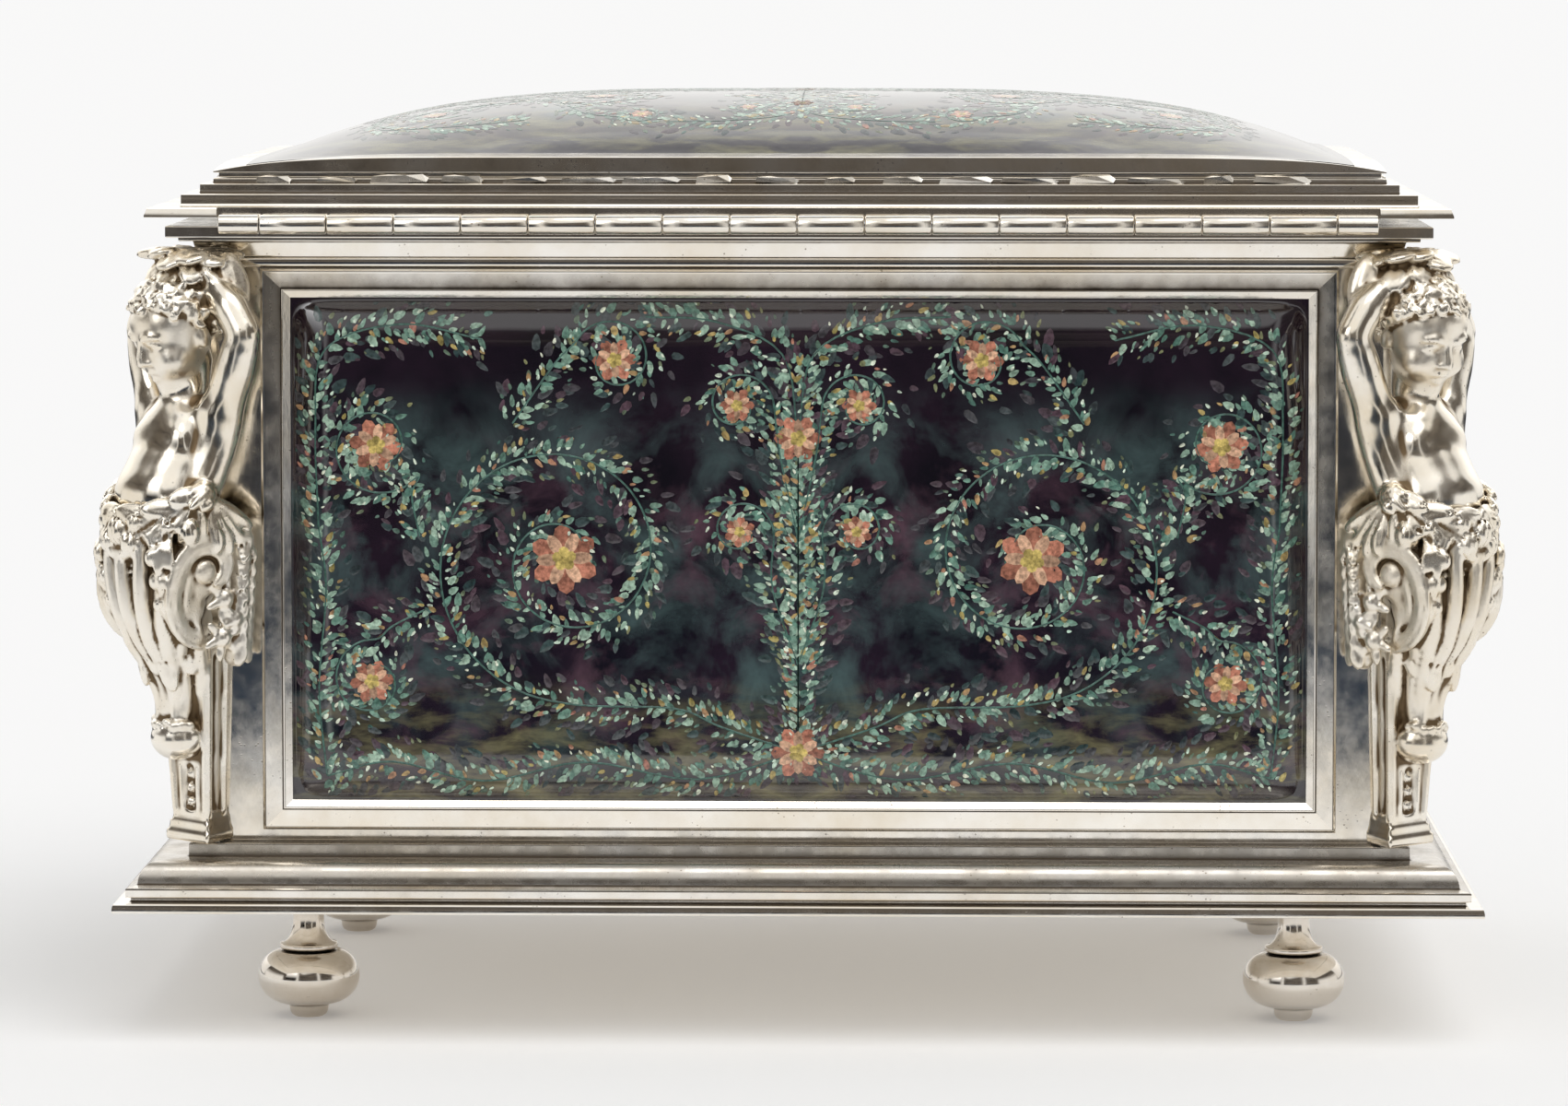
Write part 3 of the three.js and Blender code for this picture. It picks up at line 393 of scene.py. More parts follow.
# Base plate with the feet's nuts, and the screws that hold the corner figures from under the plinth:
# silvered sheet and plain bright steel. They keep the frame's own shapes.
def turned_steel(name):
    """Bright steel with fine turning marks and a little brown bloom."""
    finish, tree, coords = new_finish(name)
    bloom = noise(tree, coords, 240.0, 5.0)
    share = ramp(tree, bloom, 0.5, 0.75)
    colour = mixed(tree, share, (0.60, 0.60, 0.61, 1), (0.40, 0.33, 0.27, 1))
    fine = node(tree, "ShaderNodeMapping", {"Vector": coords, "Scale": (90.0, 90.0, 5200.0)}).outputs[0]
    marks = noise(tree, fine, 1.0, 2.0)
    rough = ramp(tree, bloom, start=0.24, end=0.46)
    grooved = bump(tree, marks, 0.5, 0.00002)
    surface(tree, {"Metallic": 1.0, "Base Color": colour, "Roughness": rough, "Normal": grooved})
    return finish


def dress(name, finish):
    """Gives a CAD node that is kept as it is its real finish."""
    mesh = nodes[name].data
    mesh.materials.clear()
    mesh.materials.append(finish)


sheet_silver = silver_plate("sheet_silver", polish=0.08, ripple=0.09)
steel = turned_steel("turned_steel")
dress("base_plate", sheet_silver)
for corner in CORNERS:
    dress(f"foot_nut_{corner}", steel)
    dress(f"figure_screw_{corner}", steel)

# Plinth: four mitred lengths of drawn and silvered moulding round the base plate: a plain plate edge,
# a groove, a fillet, an ovolo and a tread on which the corner figures and panels stand.
WALL_X, WALL_Y, SEAM = 90, 55, 0.1
# quarter turns from the hinge side, half the wall's length and the distance of its face
SIDES = {"back": (0, WALL_X, WALL_Y), "right": (1, WALL_Y, WALL_X), "front": (2, WALL_X, WALL_Y),
         "left": (3, WALL_Y, WALL_X)}


def turn_points(points, quarters):
    """Turns points that face -Y by quarter turns about the upright axis."""
    x, y, z = np.asarray(points, float).T
    c, s = ((1, 0), (0, 1), (-1, 0), (0, -1))[quarters]
    return np.stack([c * x - s * y, s * x + c * y, z], axis=1)


def capped(count):
    """Faces of a bar: two ends of count points each, and the sides between them."""
    sides = [(i, (i + 1) % count, count + (i + 1) % count, count + i) for i in range(count)]
    return [tuple(range(count)), tuple(range(2 * count - 1, count - 1, -1)), *sides]


def mitred(section, side):
    """One side's length of a moulding, from a section of (reach beyond the wall face, height)."""
    quarters, run, across = SIDES[side]
    points = [(end * (run + reach), -(across + reach), up) for end in (-1, 1) for reach, up in section]
    return turn_points(points, quarters), capped(len(section))


PLINTH_BOTTOM = 20.2
plinth_section, plinth_film_and_shade = eased([(reach, PLINTH_BOTTOM + up) for reach, up in [
    (SEAM, 0), (15, 0), (15, 0.65), (14.8, 1.5), (12.3, 1.5), (12.3, 2.2), (13.1, 2.2), (13.1, 3.6),
    *quarter((11.4, 4.0), (8.7, 7.3), (11.4, 7.3), 9), (4.3, 7.4), (4.3, 9.45), (SEAM, 9.45),
]], 0.22)
OVOLO_PAINTED_SHADE, OVOLO_FOOT = 0.58, PLINTH_BOTTOM + 3.65  # painted shade: a thick dark film on the ovolo and the tread above it
# painted shade above the ovolo's foot, real tarnish in the inner corners below it
plinth_film_and_shade = [max(film, OVOLO_PAINTED_SHADE) if up > OVOLO_FOOT else film
                 for (_, up), film in zip(plinth_section, plinth_film_and_shade)]
moulded_silver = silver_plate("moulded_silver", polish=0.08, ripple=0.07)
for side in SIDES:
    points, faces = mitred(plinth_section, side)
    piece(f"plinth_{side}", points, faces, moulded_silver, "body", hollow=plinth_film_and_shade * 2)

# Walls: four plain silvered sheets, soldered at the corners, that show as narrow mirrors between the
# panel frames and the corner figures.
for side in SIDES:
    dress(f"wall_{side}", sheet_silver)

# Cornice: four mitred lengths of silvered moulding, with a bead, a flat band, a fillet and a square-edged
# plate that closes the top of the walls. The lock side is pierced for the key and for the lid's staple.
CORNICE_TOP = 125.3
cornice_section, cornice_hollow = eased([(reach, CORNICE_TOP - drop) for reach, drop in [
    (SEAM, 6.6), (1.6, 6.6), *quarter((1.75, 6.5), (2.2, 6.0), (2.2, 6.5), 3),
    *quarter((2.2, 5.45), (1.75, 4.95), (2.2, 4.95), 3), (1.6, 4.9), (2.5, 4.9), (3.2, 2.4), (5.2, 2.4),
    (5.2, 1.8), (7, 1.8), (7, 0), (-5.2, 0), (-5.2, 1.8), (SEAM, 1.8),
]], 0.2)
KEYHOLE_Z, KEYHOLE_RADIUS, KEYHOLE_SLOT, KEYHOLE_LENGTH = CORNICE_TOP - 7.2, 1.1, 1.0, 2.4
KEYHOLE_ENDS = (45, 72)


def brick(low, high):
    """Corner points and faces of a plain block, used as a cutter."""
    points = [(x, y, z) for z in (low[2], high[2]) for y in (low[1], high[1]) for x in (low[0], high[0])]
    return points, [(0, 2, 3, 1), (4, 5, 7, 6), (0, 1, 5, 4), (2, 6, 7, 3), (0, 4, 6, 2), (1, 3, 7, 5)]


def pierced(points, faces, *cutters):
    """Cuts closed shapes out of a closed shape, as points and faces."""
    made = []
    for at, (where, sides) in enumerate(((points, faces), *cutters)):
        made.append(plain_object("cut", where, sides))
        if at:
            cut = made[0].modifiers.new("cut", "BOOLEAN")
            cut.operation, cut.solver, cut.object = "DIFFERENCE", "EXACT", made[-1]
    result = bpy.data.meshes.new_from_object(made[0].evaluated_get(bpy.context.evaluated_depsgraph_get()))
    points = np.array([v.co[:] for v in result.vertices])
    faces = [tuple(p.vertices) for p in result.polygons]
    for spent in made:
        mesh = spent.data
        bpy.data.objects.remove(spent)
        bpy.data.meshes.remove(mesh)
    bpy.data.meshes.remove(result)
    return points, faces


def keyhole_outline(steps=14):
    """Round of the keyhole with its slot below, as (x, z) points."""
    lean = math.asin(KEYHOLE_SLOT / 2 / KEYHOLE_RADIUS)
    turns = np.linspace(-math.pi / 2 + lean, 1.5 * math.pi - lean, steps)
    outline = [(KEYHOLE_RADIUS * math.cos(t), KEYHOLE_Z + KEYHOLE_RADIUS * math.sin(t)) for t in turns]
    foot = KEYHOLE_Z - KEYHOLE_RADIUS - KEYHOLE_LENGTH / 2
    return [*outline, (-KEYHOLE_SLOT / 2, foot), (KEYHOLE_SLOT / 2, foot)]


def keyhole_plug():
    """The keyhole's whole passage through the lock side, as a cutter."""
    outline = keyhole_outline()
    return [(x, y, z) for y in KEYHOLE_ENDS for x, z in outline], capped(len(outline))


def notched(points, faces, hollow, *cutters):
    """A pierced piece that keeps the dark film of its old points, tarnish and painted shade alike; points
    that the cut made have none.
    """
    whole = KDTree(len(points))
    for i, p in enumerate(points):
        whole.insert(p, i)
    whole.balance()
    points, faces = pierced(points, faces, *cutters)
    nearest = (whole.find(p) for p in points)
    return points, faces, [hollow[i] if gap < 0.03 else 0.0 for _, i, gap in nearest]


staple_slot = brick((-1.5, 48.7, CORNICE_TOP - 3), (1.5, 52.7, CORNICE_TOP + 1))
for side in SIDES:
    points, faces = mitred(cornice_section, side)
    hollow = cornice_hollow * 2
    if side == "front":
        points, faces, hollow = notched(points, faces, hollow, keyhole_plug(), staple_slot)
    piece(f"cornice_{side}", points, faces, moulded_silver, "body", hollow=hollow)

# Panel frames: a cast and filed silver frame round each enamel, with a thin outer edge, a sloped
# bevel that falls inwards and a raised lip that slopes down to the enamel and grips it.
FRAME_MIDDLE, OPENING_HALF_HEIGHT, FRAME_WIDTH = 75.025, 38.925, 4.6
opening_half_width = {side: run - 7 - FRAME_WIDTH for side, (_, run, _) in SIDES.items()}
frame_section, frame_hollow = eased([
    (0.9, 0), (FRAME_WIDTH, 0), (FRAME_WIDTH, 2.0), (4.2, 2.4), (3.8, 2.2), (1.5, 1.15),
    (1.42, 1.55), (1.2, 1.62), (0.05, 0.88), (0.05, 0.7), (0.9, 0.7),
], 0.12, film=0.2)
# painted shade: the bevel of the top rail, which faces down, gets a thick dark film that fades down the
# uprights, on top of the real tarnish in the inner corners
tarnish_and_shade = [max(film, 0.45 + 0.4 * (3.9 - wide) / 2.6) if 1.3 < wide < 3.9 and high > 0.9 else film
           for (wide, high), film in zip(frame_section, frame_hollow)]


def looped(rings, count):
    """Faces of a tube that closes on itself, from rings of count points each."""
    faces = []
    for ring in range(rings):
        here, there = ring * count, (ring + 1) % rings * count
        faces += [(here + i, here + (i + 1) % count, there + (i + 1) % count, there + i)
                  for i in range(count)]
    return faces


for side, (quarters, _, across) in SIDES.items():
    half_width = opening_half_width[side]
    points = [
        (x * (half_width + wide), -(across + SEAM + high), FRAME_MIDDLE + z * (OPENING_HALF_HEIGHT + wide))
        for x, z in ((1, 1), (-1, 1), (-1, -1), (1, -1)) for wide, high in frame_section
    ]
    points, faces = turn_points(points, quarters), looped(4, len(frame_section))
    # the top corners carry the bevel's painted shade, the bottom corners only tarnish
    hollow = tarnish_and_shade * 2 + frame_hollow * 2
    if side == "front":
        points, faces, hollow = notched(points, faces, hollow, keyhole_plug())
    piece(f"panel_frame_{side}", points, faces, moulded_silver, "body", hollow=hollow)

# Enamel panels: thin copper sheets, domed like cushions and fired with a near-black aubergine ground. Each
# lies against its wall and is gripped all round by the frame's lip.
ENAMEL_SHEET, ENAMEL_RISE, ENAMEL_BORDER, ENAMEL_TUCK = 0.6, 2.6, 7.0, 0.6


def enamel_ground(name):
    """Near-black aubergine glass with dim clouds of colour, laid out by the flat place of each point."""
    finish, tree, coords = new_finish(name)
    flat = node(tree, "ShaderNodeAttribute", attribute_name="flat").outputs["Vector"]
    level = node(tree, "ShaderNodeSeparateXYZ", {0: flat}).outputs["Z"]

    def clouds(scale, shift, low, high, stretch=1.0):
        at = node(tree, "ShaderNodeMapping", {
            "Vector": flat, "Location": (shift, shift, 0), "Scale": (scale, scale * stretch, 0)}).outputs[0]
        drift = noise(tree, at, 1.0, 5.0, Roughness=0.6, Distortion=0.4)
        return ramp(tree, drift, low, high)

    def band(low, full, gone, high):
        rise = ramp(tree, level, low, full, smooth=True)
        fall = ramp(tree, level, high, gone, smooth=True)
        return math_node(tree, "MULTIPLY", rise, fall)

    colour = mixed(tree, clouds(0.05, 3.0, 0.35, 0.72), (0.0045, 0.0032, 0.0065, 1), (0.022, 0.010, 0.020, 1))
    for share, where, tint in (
            (clouds(0.075, 9.0, 0.45, 0.78), band(-1.0, -0.5, 0.3, 0.75), (0.085, 0.140, 0.138, 1)),
            (clouds(0.11, 17.0, 0.50, 0.80), band(-1.0, -0.7, 0.0, 0.6), (0.120, 0.062, 0.085, 1)),
            (clouds(0.10, 29.0, 0.44, 0.80, 3.0), band(-1.1, -0.98, -0.80, -0.45), (0.270, 0.250, 0.120, 1))):
        colour = mixed(tree, math_node(tree, "MULTIPLY", share, where), colour, tint)
    swim = noise(tree, coords, 260.0, 2.0)
    wavy = bump(tree, swim, 0.22, 0.00012)
    surface(tree, {"Base Color": colour, "Normal": wavy, "Roughness": 0.06, "IOR": 1.85})
    return finish


def cushion(x, z, half_width):
    """Height of a panel's face above its back, over its opening."""
    soft = 1.6
    a, b = half_width - np.abs(x), OPENING_HALF_HEIGHT - np.abs(z)
    inside = np.minimum(a, b) - soft * np.log1p(np.exp(-np.abs(a - b) / soft))
    border = np.clip(1 - np.clip(inside - 0.3, 0, None) / ENAMEL_BORDER, 0, 1)
    return ENAMEL_SHEET + ENAMEL_RISE * (1 - border ** 2.4) * (inside > 0.3)


def grid_lines(half, border, steps):
    """Grid lines over a panel, close together in its rounded border."""
    edge = half + ENAMEL_TUCK - np.array([0, 0.55, 0.62, *np.linspace(0.95, border + 1.5, 16)])
    middle = np.linspace(-edge[-1], edge[-1], steps)
    return np.concatenate([-edge, middle[1:-1], edge[::-1]])


def slab(xs, ys, top, bottom):
    """Closed plate over a grid, as points and faces; top and bottom give heights at arrays of points."""
    x, y = np.meshgrid(xs, ys, indexing="ij")
    sheets = [np.stack([x, y, np.broadcast_to(h, x.shape)], -1).reshape(-1, 3)
              for h in (top(x, y), bottom(x, y))]
    n, m = x.shape
    at = np.arange(n * m).reshape(n, m)
    quads = np.stack([at[:-1, :-1], at[1:, :-1], at[1:, 1:], at[:-1, 1:]], -1).reshape(-1, 4)
    rim = np.concatenate([at[:, 0], at[-1, 1:], at[-2::-1, -1], at[0, -2:0:-1]])
    walls = np.stack([rim, np.roll(rim, -1), np.roll(rim, -1) + n * m, rim + n * m], -1)
    return np.concatenate(sheets), [*quads.tolist(), *(quads[:, ::-1] + n * m).tolist(), *walls.tolist()]


def lay_flat(made, x, y, half_height):
    """Keeps each point's place on the flat design: both halves alike, and its level from -1 to 1."""
    flat = np.stack([np.abs(x), y, y / half_height], 1).astype(np.float32)
    made.data.attributes.new("flat", "FLOAT_VECTOR", "POINT").data.foreach_set("vector", flat.ravel())


aubergine = enamel_ground("aubergine_enamel")
for side, (quarters, _, across) in SIDES.items():
    half_width = opening_half_width[side]
    flat, faces = slab(
        grid_lines(half_width, ENAMEL_BORDER, 41), grid_lines(OPENING_HALF_HEIGHT, ENAMEL_BORDER, 25),
        lambda x, z: cushion(x, z, half_width), lambda x, z: 0.0,
    )
    points = np.stack([flat[:, 0], -(across + SEAM) - flat[:, 2], FRAME_MIDDLE + flat[:, 1]], 1)
    points = turn_points(points, quarters)
    panel = piece(f"enamel_panel_{side}", points, faces, aubergine, "body", crease=50)
    lay_flat(panel, flat[:, 0], flat[:, 1], OPENING_HALF_HEIGHT)

# Enamel painting: opaque and half-clear colours fired on the dark ground, dab by dab. The design is a plain
# leafy scroll with blossoms, alike on both halves of each panel, and a like one in the lid's four quarters.
def smooth_line(knots, steps):
    """A smooth line through knots, with steps between each two."""
    knots = np.asarray(knots, float)
    ends = np.concatenate([[2 * knots[0] - knots[1]], knots, [2 * knots[-1] - knots[-2]]])
    a, b, c, d = ends[:-3, None], ends[1:-2, None], ends[2:-1, None], ends[3:, None]
    t = np.linspace(0, 1, steps, endpoint=False)[None, :, None]
    line = b + 0.5 * t * (c - a + t * (2 * a - 5 * b + 4 * c - d + t * (3 * (b - c) + d - a)))
    return np.concatenate([line.reshape(-1, knots.shape[1]), knots[-1:]])


def stem(*knots, curl=None):
    """A smooth line through knots on the flat design; curl (x, y, radius, start angle, turns) winds it up."""
    if curl:
        x, y, radius, start, turns = curl
        t = np.linspace(0, 1, int(14 * abs(turns)) + 2)
        wound = radius * (1 - 0.88 * t ** 0.9)
        angle = math.radians(start) + 2 * math.pi * turns * t
        knots = [*knots, *zip(x + wound * np.cos(angle), y + wound * np.sin(angle))]
    return smooth_line(knots, 5)


def scroll_design(w, h):
    """Stems and blossoms of one half of a panel of half width w and half height h."""
    r = min(0.29 * w, 0.60 * h)
    x, y = 0.46 * w, -0.03 * h
    stems = [
        stem((0, -0.80 * h), (0.15 * w, -0.70 * h), (x - 0.75 * r, y - 1.02 * r), curl=(x, y, r, -95, 1.75)),
        stem((x + 0.95 * r, y - 0.35 * r), (0.80 * w, -0.30 * h),
             curl=(0.84 * w, -0.52 * h, 0.30 * r, 100, -1.5)),
        stem((x + 0.98 * r, y + 0.15 * r), (0.76 * w, 0.22 * h),
             curl=(0.83 * w, 0.42 * h, 0.36 * r, 215, 1.6)),
        stem((x + 0.35 * r, y + 0.92 * r), (0.48 * w, 0.74 * h),
             curl=(0.36 * w, 0.76 * h, 0.30 * r, 20, 1.5)),
        stem((0, -0.80 * h), (0, -0.2 * h), (0, 0.45 * h)),
        stem((0, -0.45 * h), (0.05 * w, -0.15 * h), curl=(0.115 * w, 0.08 * h, 0.24 * r, 195, -1.4)),
        stem((0, 0.05 * h), (0.035 * w, 0.38 * h), curl=(0.12 * w, 0.58 * h, 0.26 * r, 190, -1.4)),
        stem((0, -0.80 * h), (0.20 * w, -0.91 * h), (0.42 * w, -0.84 * h), (0.62 * w, -0.92 * h),
             (0.80 * w, -0.84 * h), (0.93 * w, -0.90 * h)),
        stem((0.93 * w, -0.90 * h), (0.945 * w, -0.55 * h), (0.93 * w, -0.15 * h), (0.945 * w, 0.1 * h)),
        stem((0.945 * w, 0.1 * h), (0.95 * w, 0.5 * h), (0.93 * w, 0.80 * h), (0.78 * w, 0.90 * h),
             (0.62 * w, 0.84 * h)),
        stem((0, 0.45 * h), (0.03 * w, 0.78 * h), (0.16 * w, 0.91 * h), (0.30 * w, 0.93 * h)),
    ]
    blossoms = [
        (x, y, 0.22 * r), (0.84 * w, -0.52 * h, 0.14 * r), (0.83 * w, 0.42 * h, 0.17 * r),
        (0.36 * w, 0.76 * h, 0.14 * r), (0.115 * w, 0.08 * h, 0.10 * r), (0.12 * w, 0.58 * h, 0.11 * r),
        (0, 0.45 * h, 0.15 * r), (0, -0.80 * h, 0.17 * r),
    ]
    return stems, blossoms


def new_growth(name, **inputs):
    """A node tree with named inputs of given kinds, and those inputs as its nodes see them."""
    tree = bpy.data.node_groups.new(name, "GeometryNodeTree")
    for label, kind in {**inputs, "Material": "Material"}.items():
        tree.interface.new_socket(label, in_out="INPUT", socket_type=f"NodeSocket{kind}")
    tree.interface.new_socket("Geometry", in_out="OUTPUT", socket_type="NodeSocketGeometry")
    return tree, node(tree, "NodeGroupInput").outputs


def dice(tree, seed):
    """A function that adds a random value between two bounds to a tree, for each throw its own."""
    def roll(low, high, throw):
        own = math_node(tree, "ADD", seed, float(throw))
        return node(tree, "FunctionNodeRandomValue", {2: low, 3: high, 8: own}, data_type="FLOAT").outputs[1]

    return roll


def end_growth(tree, parts, finish):
    """Joins a tree's parts, makes them real and gives them their finish."""
    joined = node(tree, "GeometryNodeJoinGeometry")
    for part in parts:
        tree.links.new(part, joined.inputs[0])
    whole = node(tree, "GeometryNodeRealizeInstances", {0: joined.outputs[0]}).outputs[0]
    dressed = node(tree, "GeometryNodeSetMaterial", {0: whole, "Material": finish}).outputs[0]
    node(tree, "NodeGroupOutput", {0: dressed})
    return tree


def placed_copies(tree, points, shape, **how):
    """Copies of an object on points, turned and scaled."""
    copied = node(tree, "GeometryNodeObjectInfo", {"Object": shape}).outputs["Geometry"]
    return node(tree, "GeometryNodeInstanceOnPoints",
                {"Points": points, "Instance": copied, **how}).outputs[0]


def spray_tree():
    """Node tree that sets small painted leaves at chance angles along stems, and draws the stems."""
    tree, given = new_growth("leaf_spray", Stems="Geometry", Leaf="Object", Spacing="Float", Reach="Float",
                             Size="Float", Dark="Color", Middle="Color", Light="Color", Lift="Float",
                             Width="Float", Seed="Int")
    roll = dice(tree, given["Seed"])
    curve = node(tree, "GeometryNodeMeshToCurve", {0: given["Stems"]}).outputs[0]
    even = node(tree, "GeometryNodeResampleCurve", {"Curve": curve, "Length": given["Spacing"]},
                mode="LENGTH").outputs[0]
    beads = node(tree, "GeometryNodeCurveToPoints", {0: even}, mode="EVALUATED").outputs
    way = node(tree, "ShaderNodeSeparateXYZ", {0: beads["Tangent"]}).outputs
    heading = math_node(tree, "ARCTAN2", way["Y"], way["X"])
    hand = math_node(tree, "SIGN", roll(-1.0, 1.0, 1))
    lean = math_node(tree, "MULTIPLY_ADD", hand, roll(0.35, 1.25, 2), heading)
    aside = math_node(tree, "MULTIPLY_ADD", hand, 1.35, heading)
    away = math_node(tree, "MULTIPLY", given["Reach"], roll(0.15, 1.0, 3))
    shift = node(tree, "ShaderNodeCombineXYZ", {
        0: math_node(tree, "MULTIPLY", math_node(tree, "COSINE", aside), away),
        1: math_node(tree, "MULTIPLY", math_node(tree, "SINE", aside), away),
        2: math_node(tree, "MULTIPLY", given["Lift"], roll(0.5, 1.5, 4))}).outputs[0]
    moved = node(tree, "GeometryNodeSetPosition", {"Geometry": beads["Points"], "Offset": shift}).outputs[0]
    size = math_node(tree, "MULTIPLY", given["Size"], roll(0.6, 1.35, 5))
    broad = math_node(tree, "MULTIPLY", size, roll(0.7, 1.2, 6))
    dabs = placed_copies(tree, moved, given["Leaf"],
                         Rotation=node(tree, "ShaderNodeCombineXYZ", {2: lean}).outputs[0],
                         Scale=node(tree, "ShaderNodeCombineXYZ", {0: size, 1: broad, 2: size}).outputs[0])
    first = mixed(tree, roll(0.0, 1.0, 7), given["Dark"], given["Middle"])
    share = math_node(tree, "POWER", roll(0.0, 1.0, 8), 1.6)
    tone = mixed(tree, share, first, given["Light"])
    tinted = node(tree, "GeometryNodeStoreNamedAttribute", {"Geometry": dabs, "Name": "paint", "Value": tone},
                  data_type="FLOAT_COLOR", domain="INSTANCE").outputs[0]
    line = node(tree, "GeometryNodeCurvePrimitiveCircle",
                {"Resolution": 6, "Radius": given["Width"]}).outputs[0]
    twig = node(tree, "GeometryNodeCurveToMesh", {0: even, 1: line}).outputs[0]
    brown = node(tree, "GeometryNodeStoreNamedAttribute",
                 {"Geometry": twig, "Name": "paint", "Value": given["Dark"]},
                 data_type="FLOAT_COLOR", domain="POINT").outputs[0]
    return end_growth(tree, (tinted, brown), given["Material"])


def grown(name, start, tree, inputs):
    """The plain mesh that a node tree makes from a start object, which is then removed."""
    grow = start.modifiers.new("grow", "NODES")
    grow.node_group = tree
    sockets = {s.name: s.identifier for s in tree.interface.items_tree if s.in_out == "INPUT"}
    for label, value in inputs.items():
        grow[sockets[label]] = value
    bpy.context.view_layer.update()
    mesh = bpy.data.meshes.new_from_object(start.evaluated_get(bpy.context.evaluated_depsgraph_get()))
    start.modifiers.remove(grow)
    bpy.data.objects.remove(start)
    mesh.name = name
    made = bpy.data.objects.new(name, mesh)
    scene.collection.objects.link(made)
    return made


def enamel_paint(name):
    """Glossy fired colours, each dab with its own tint and a little streaky."""
    finish, tree, coords = new_finish(name)
    tint = node(tree, "ShaderNodeAttribute", attribute_name="paint").outputs["Color"]
    streak = noise(tree, coords, 1600.0, 4.0)
    strength = ramp(tree, streak, 0.32, 0.68, 0.45, 1.25)
    colour = node(tree, "ShaderNodeVectorMath", {0: tint, "Scale": strength}, operation="SCALE").outputs[0]
    surface(tree, {"Base Color": colour, "Roughness": 0.16, "IOR": 1.6})
    return finish


paint = enamel_paint("enamel_paint")
spray = spray_tree()
around = np.linspace(0, 2 * math.pi, 8, endpoint=False)
fan = [(0, 1 + k, 1 + (k + 1) % len(around)) for k in range(len(around))]
leaf_rim = [(0.5 * math.cos(a), 0.26 * math.sin(a) * (1 - 0.35 * math.cos(a)), 0) for a in around]
dab = plain_object("dab", [(0, 0, 0.05), *leaf_rim], fan)
LAYER_INPUTS = ("Spacing", "Reach", "Size", "Lift", "Width", "Dark", "Middle", "Light")
LAYERS = (
    (0.8, 5.2, 2.2, 0.02, 0.05, (0.022, 0.046, 0.048, 1), (0.062, 0.105, 0.1, 1), (0.1, 0.055, 0.075, 1)),
    (0.9, 4.2, 1.1, 0.03, 0.05, (0.05, 0.13, 0.11, 1), (0.12, 0.21, 0.175, 1), (0.24, 0.24, 0.11, 1)),
    (0.6, 2.4, 1.7, 0.05, 0.16, (0.06, 0.15, 0.12, 1), (0.15, 0.3, 0.23, 1), (0.43, 0.6, 0.46, 1)),
    (2.2, 2.8, 1.35, 0.08, 0.02, (0.3, 0.25, 0.08, 1), (0.56, 0.46, 0.16, 1), (0.46, 0.2, 0.15, 1)),
    (1.3, 2.8, 0.85, 0.1, 0.02, (0.48, 0.68, 0.55, 1), (0.66, 0.8, 0.66, 1), (0.88, 0.9, 0.72, 1)),
)
# blossom rings from the outside in: petals, distance, length, width and colour
PETALS = (
    (6, 0.62, 0.95, 0.62, (0.50, 0.20, 0.13, 1)),
    (6, 0.50, 0.75, 0.40, (0.66, 0.40, 0.26, 1)),
    (5, 0.18, 0.42, 0.36, (0.60, 0.46, 0.14, 1)),
)


def painted(name, stems, blossoms, place, body):
    """Paints a design's dabs along its stems, then its blossoms, set on the enamel by the place function."""
    edges, first = [], 0
    for line in stems:
        edges += [(first + k, first + k + 1) for k in range(len(line) - 1)]
        first += len(line)
    flat = np.concatenate(stems)
    lines = np.stack([flat[:, 0], flat[:, 1], np.zeros(len(flat))], 1)
    points, faces, tints = [], [], []
    for seed, layer in enumerate(LAYERS):
        coat = grown("coat", plain_object("stems", lines, [], edges), spray, {
            "Leaf": dab, "Seed": 20 * seed, "Material": paint, **dict(zip(LAYER_INPUTS, layer))})
        mesh = coat.data
        first = sum(len(p) for p in points)
        points.append(np.array([v.co[:] for v in mesh.vertices]))
        faces += [tuple(first + i for i in f.vertices) for f in mesh.polygons]
        tint = np.empty(4 * len(mesh.vertices), np.float32)
        mesh.attributes["paint"].data.foreach_get("color", tint)
        tints.append(tint.reshape(-1, 4))
        bpy.data.objects.remove(coat)
        bpy.data.meshes.remove(mesh)
    for x, y, radius in blossoms:
        for ring, (petals, far, long, wide, tone) in enumerate(PETALS):
            for k in range(petals):
                turn = 2 * math.pi * (k + 0.5 * ring) / petals + x
                c, s = math.cos(turn), math.sin(turn)
                rim = [(0.5 * long * math.cos(a), 0.5 * wide * math.sin(a), 0) for a in around]
                oval = [(0, 0, 0.05), *rim]
                first = sum(len(p) for p in points)
                points.append(np.array([
                    (x + radius * ((far + u) * c - v * s), y + radius * ((far + u) * s + v * c),
                     0.12 + 0.03 * ring + up) for u, v, up in oval]))
                faces += [tuple(first + i for i in face) for face in fan]
                shade = 0.75 + 0.5 * ((k * 7 + 3 * ring) % 5) / 4
                tints.append(np.tile(np.array(tone, np.float32) * shade, (len(oval), 1)))
    made = piece(name, place(np.concatenate(points)), faces, paint, body, 80, replaces=False)
    marks = made.data.attributes.new("paint", "FLOAT_COLOR", "POINT").data
    marks.foreach_set("color", np.concatenate(tints).ravel())


for side, (quarters, _, across) in SIDES.items():
    half_width = opening_half_width[side]
    stems, blossoms = scroll_design(half_width, OPENING_HALF_HEIGHT)
    stems += [line * (-1, 1) for line in stems]
    blossoms += [(-x, y, radius) for x, y, radius in blossoms if x > 0]

    def on_panel(at):
        most = np.array([half_width, OPENING_HALF_HEIGHT]) - 0.6
        x, z = np.clip(at[:, :2], -most, most).T
        out = -(across + SEAM) - cushion(x, z, half_width) - np.maximum(at[:, 2], 0.01)
        return turn_points(np.stack([x, out, FRAME_MIDDLE + z], 1), quarters)

    painted(f"painting_{side}", stems, blossoms, on_panel, "body")

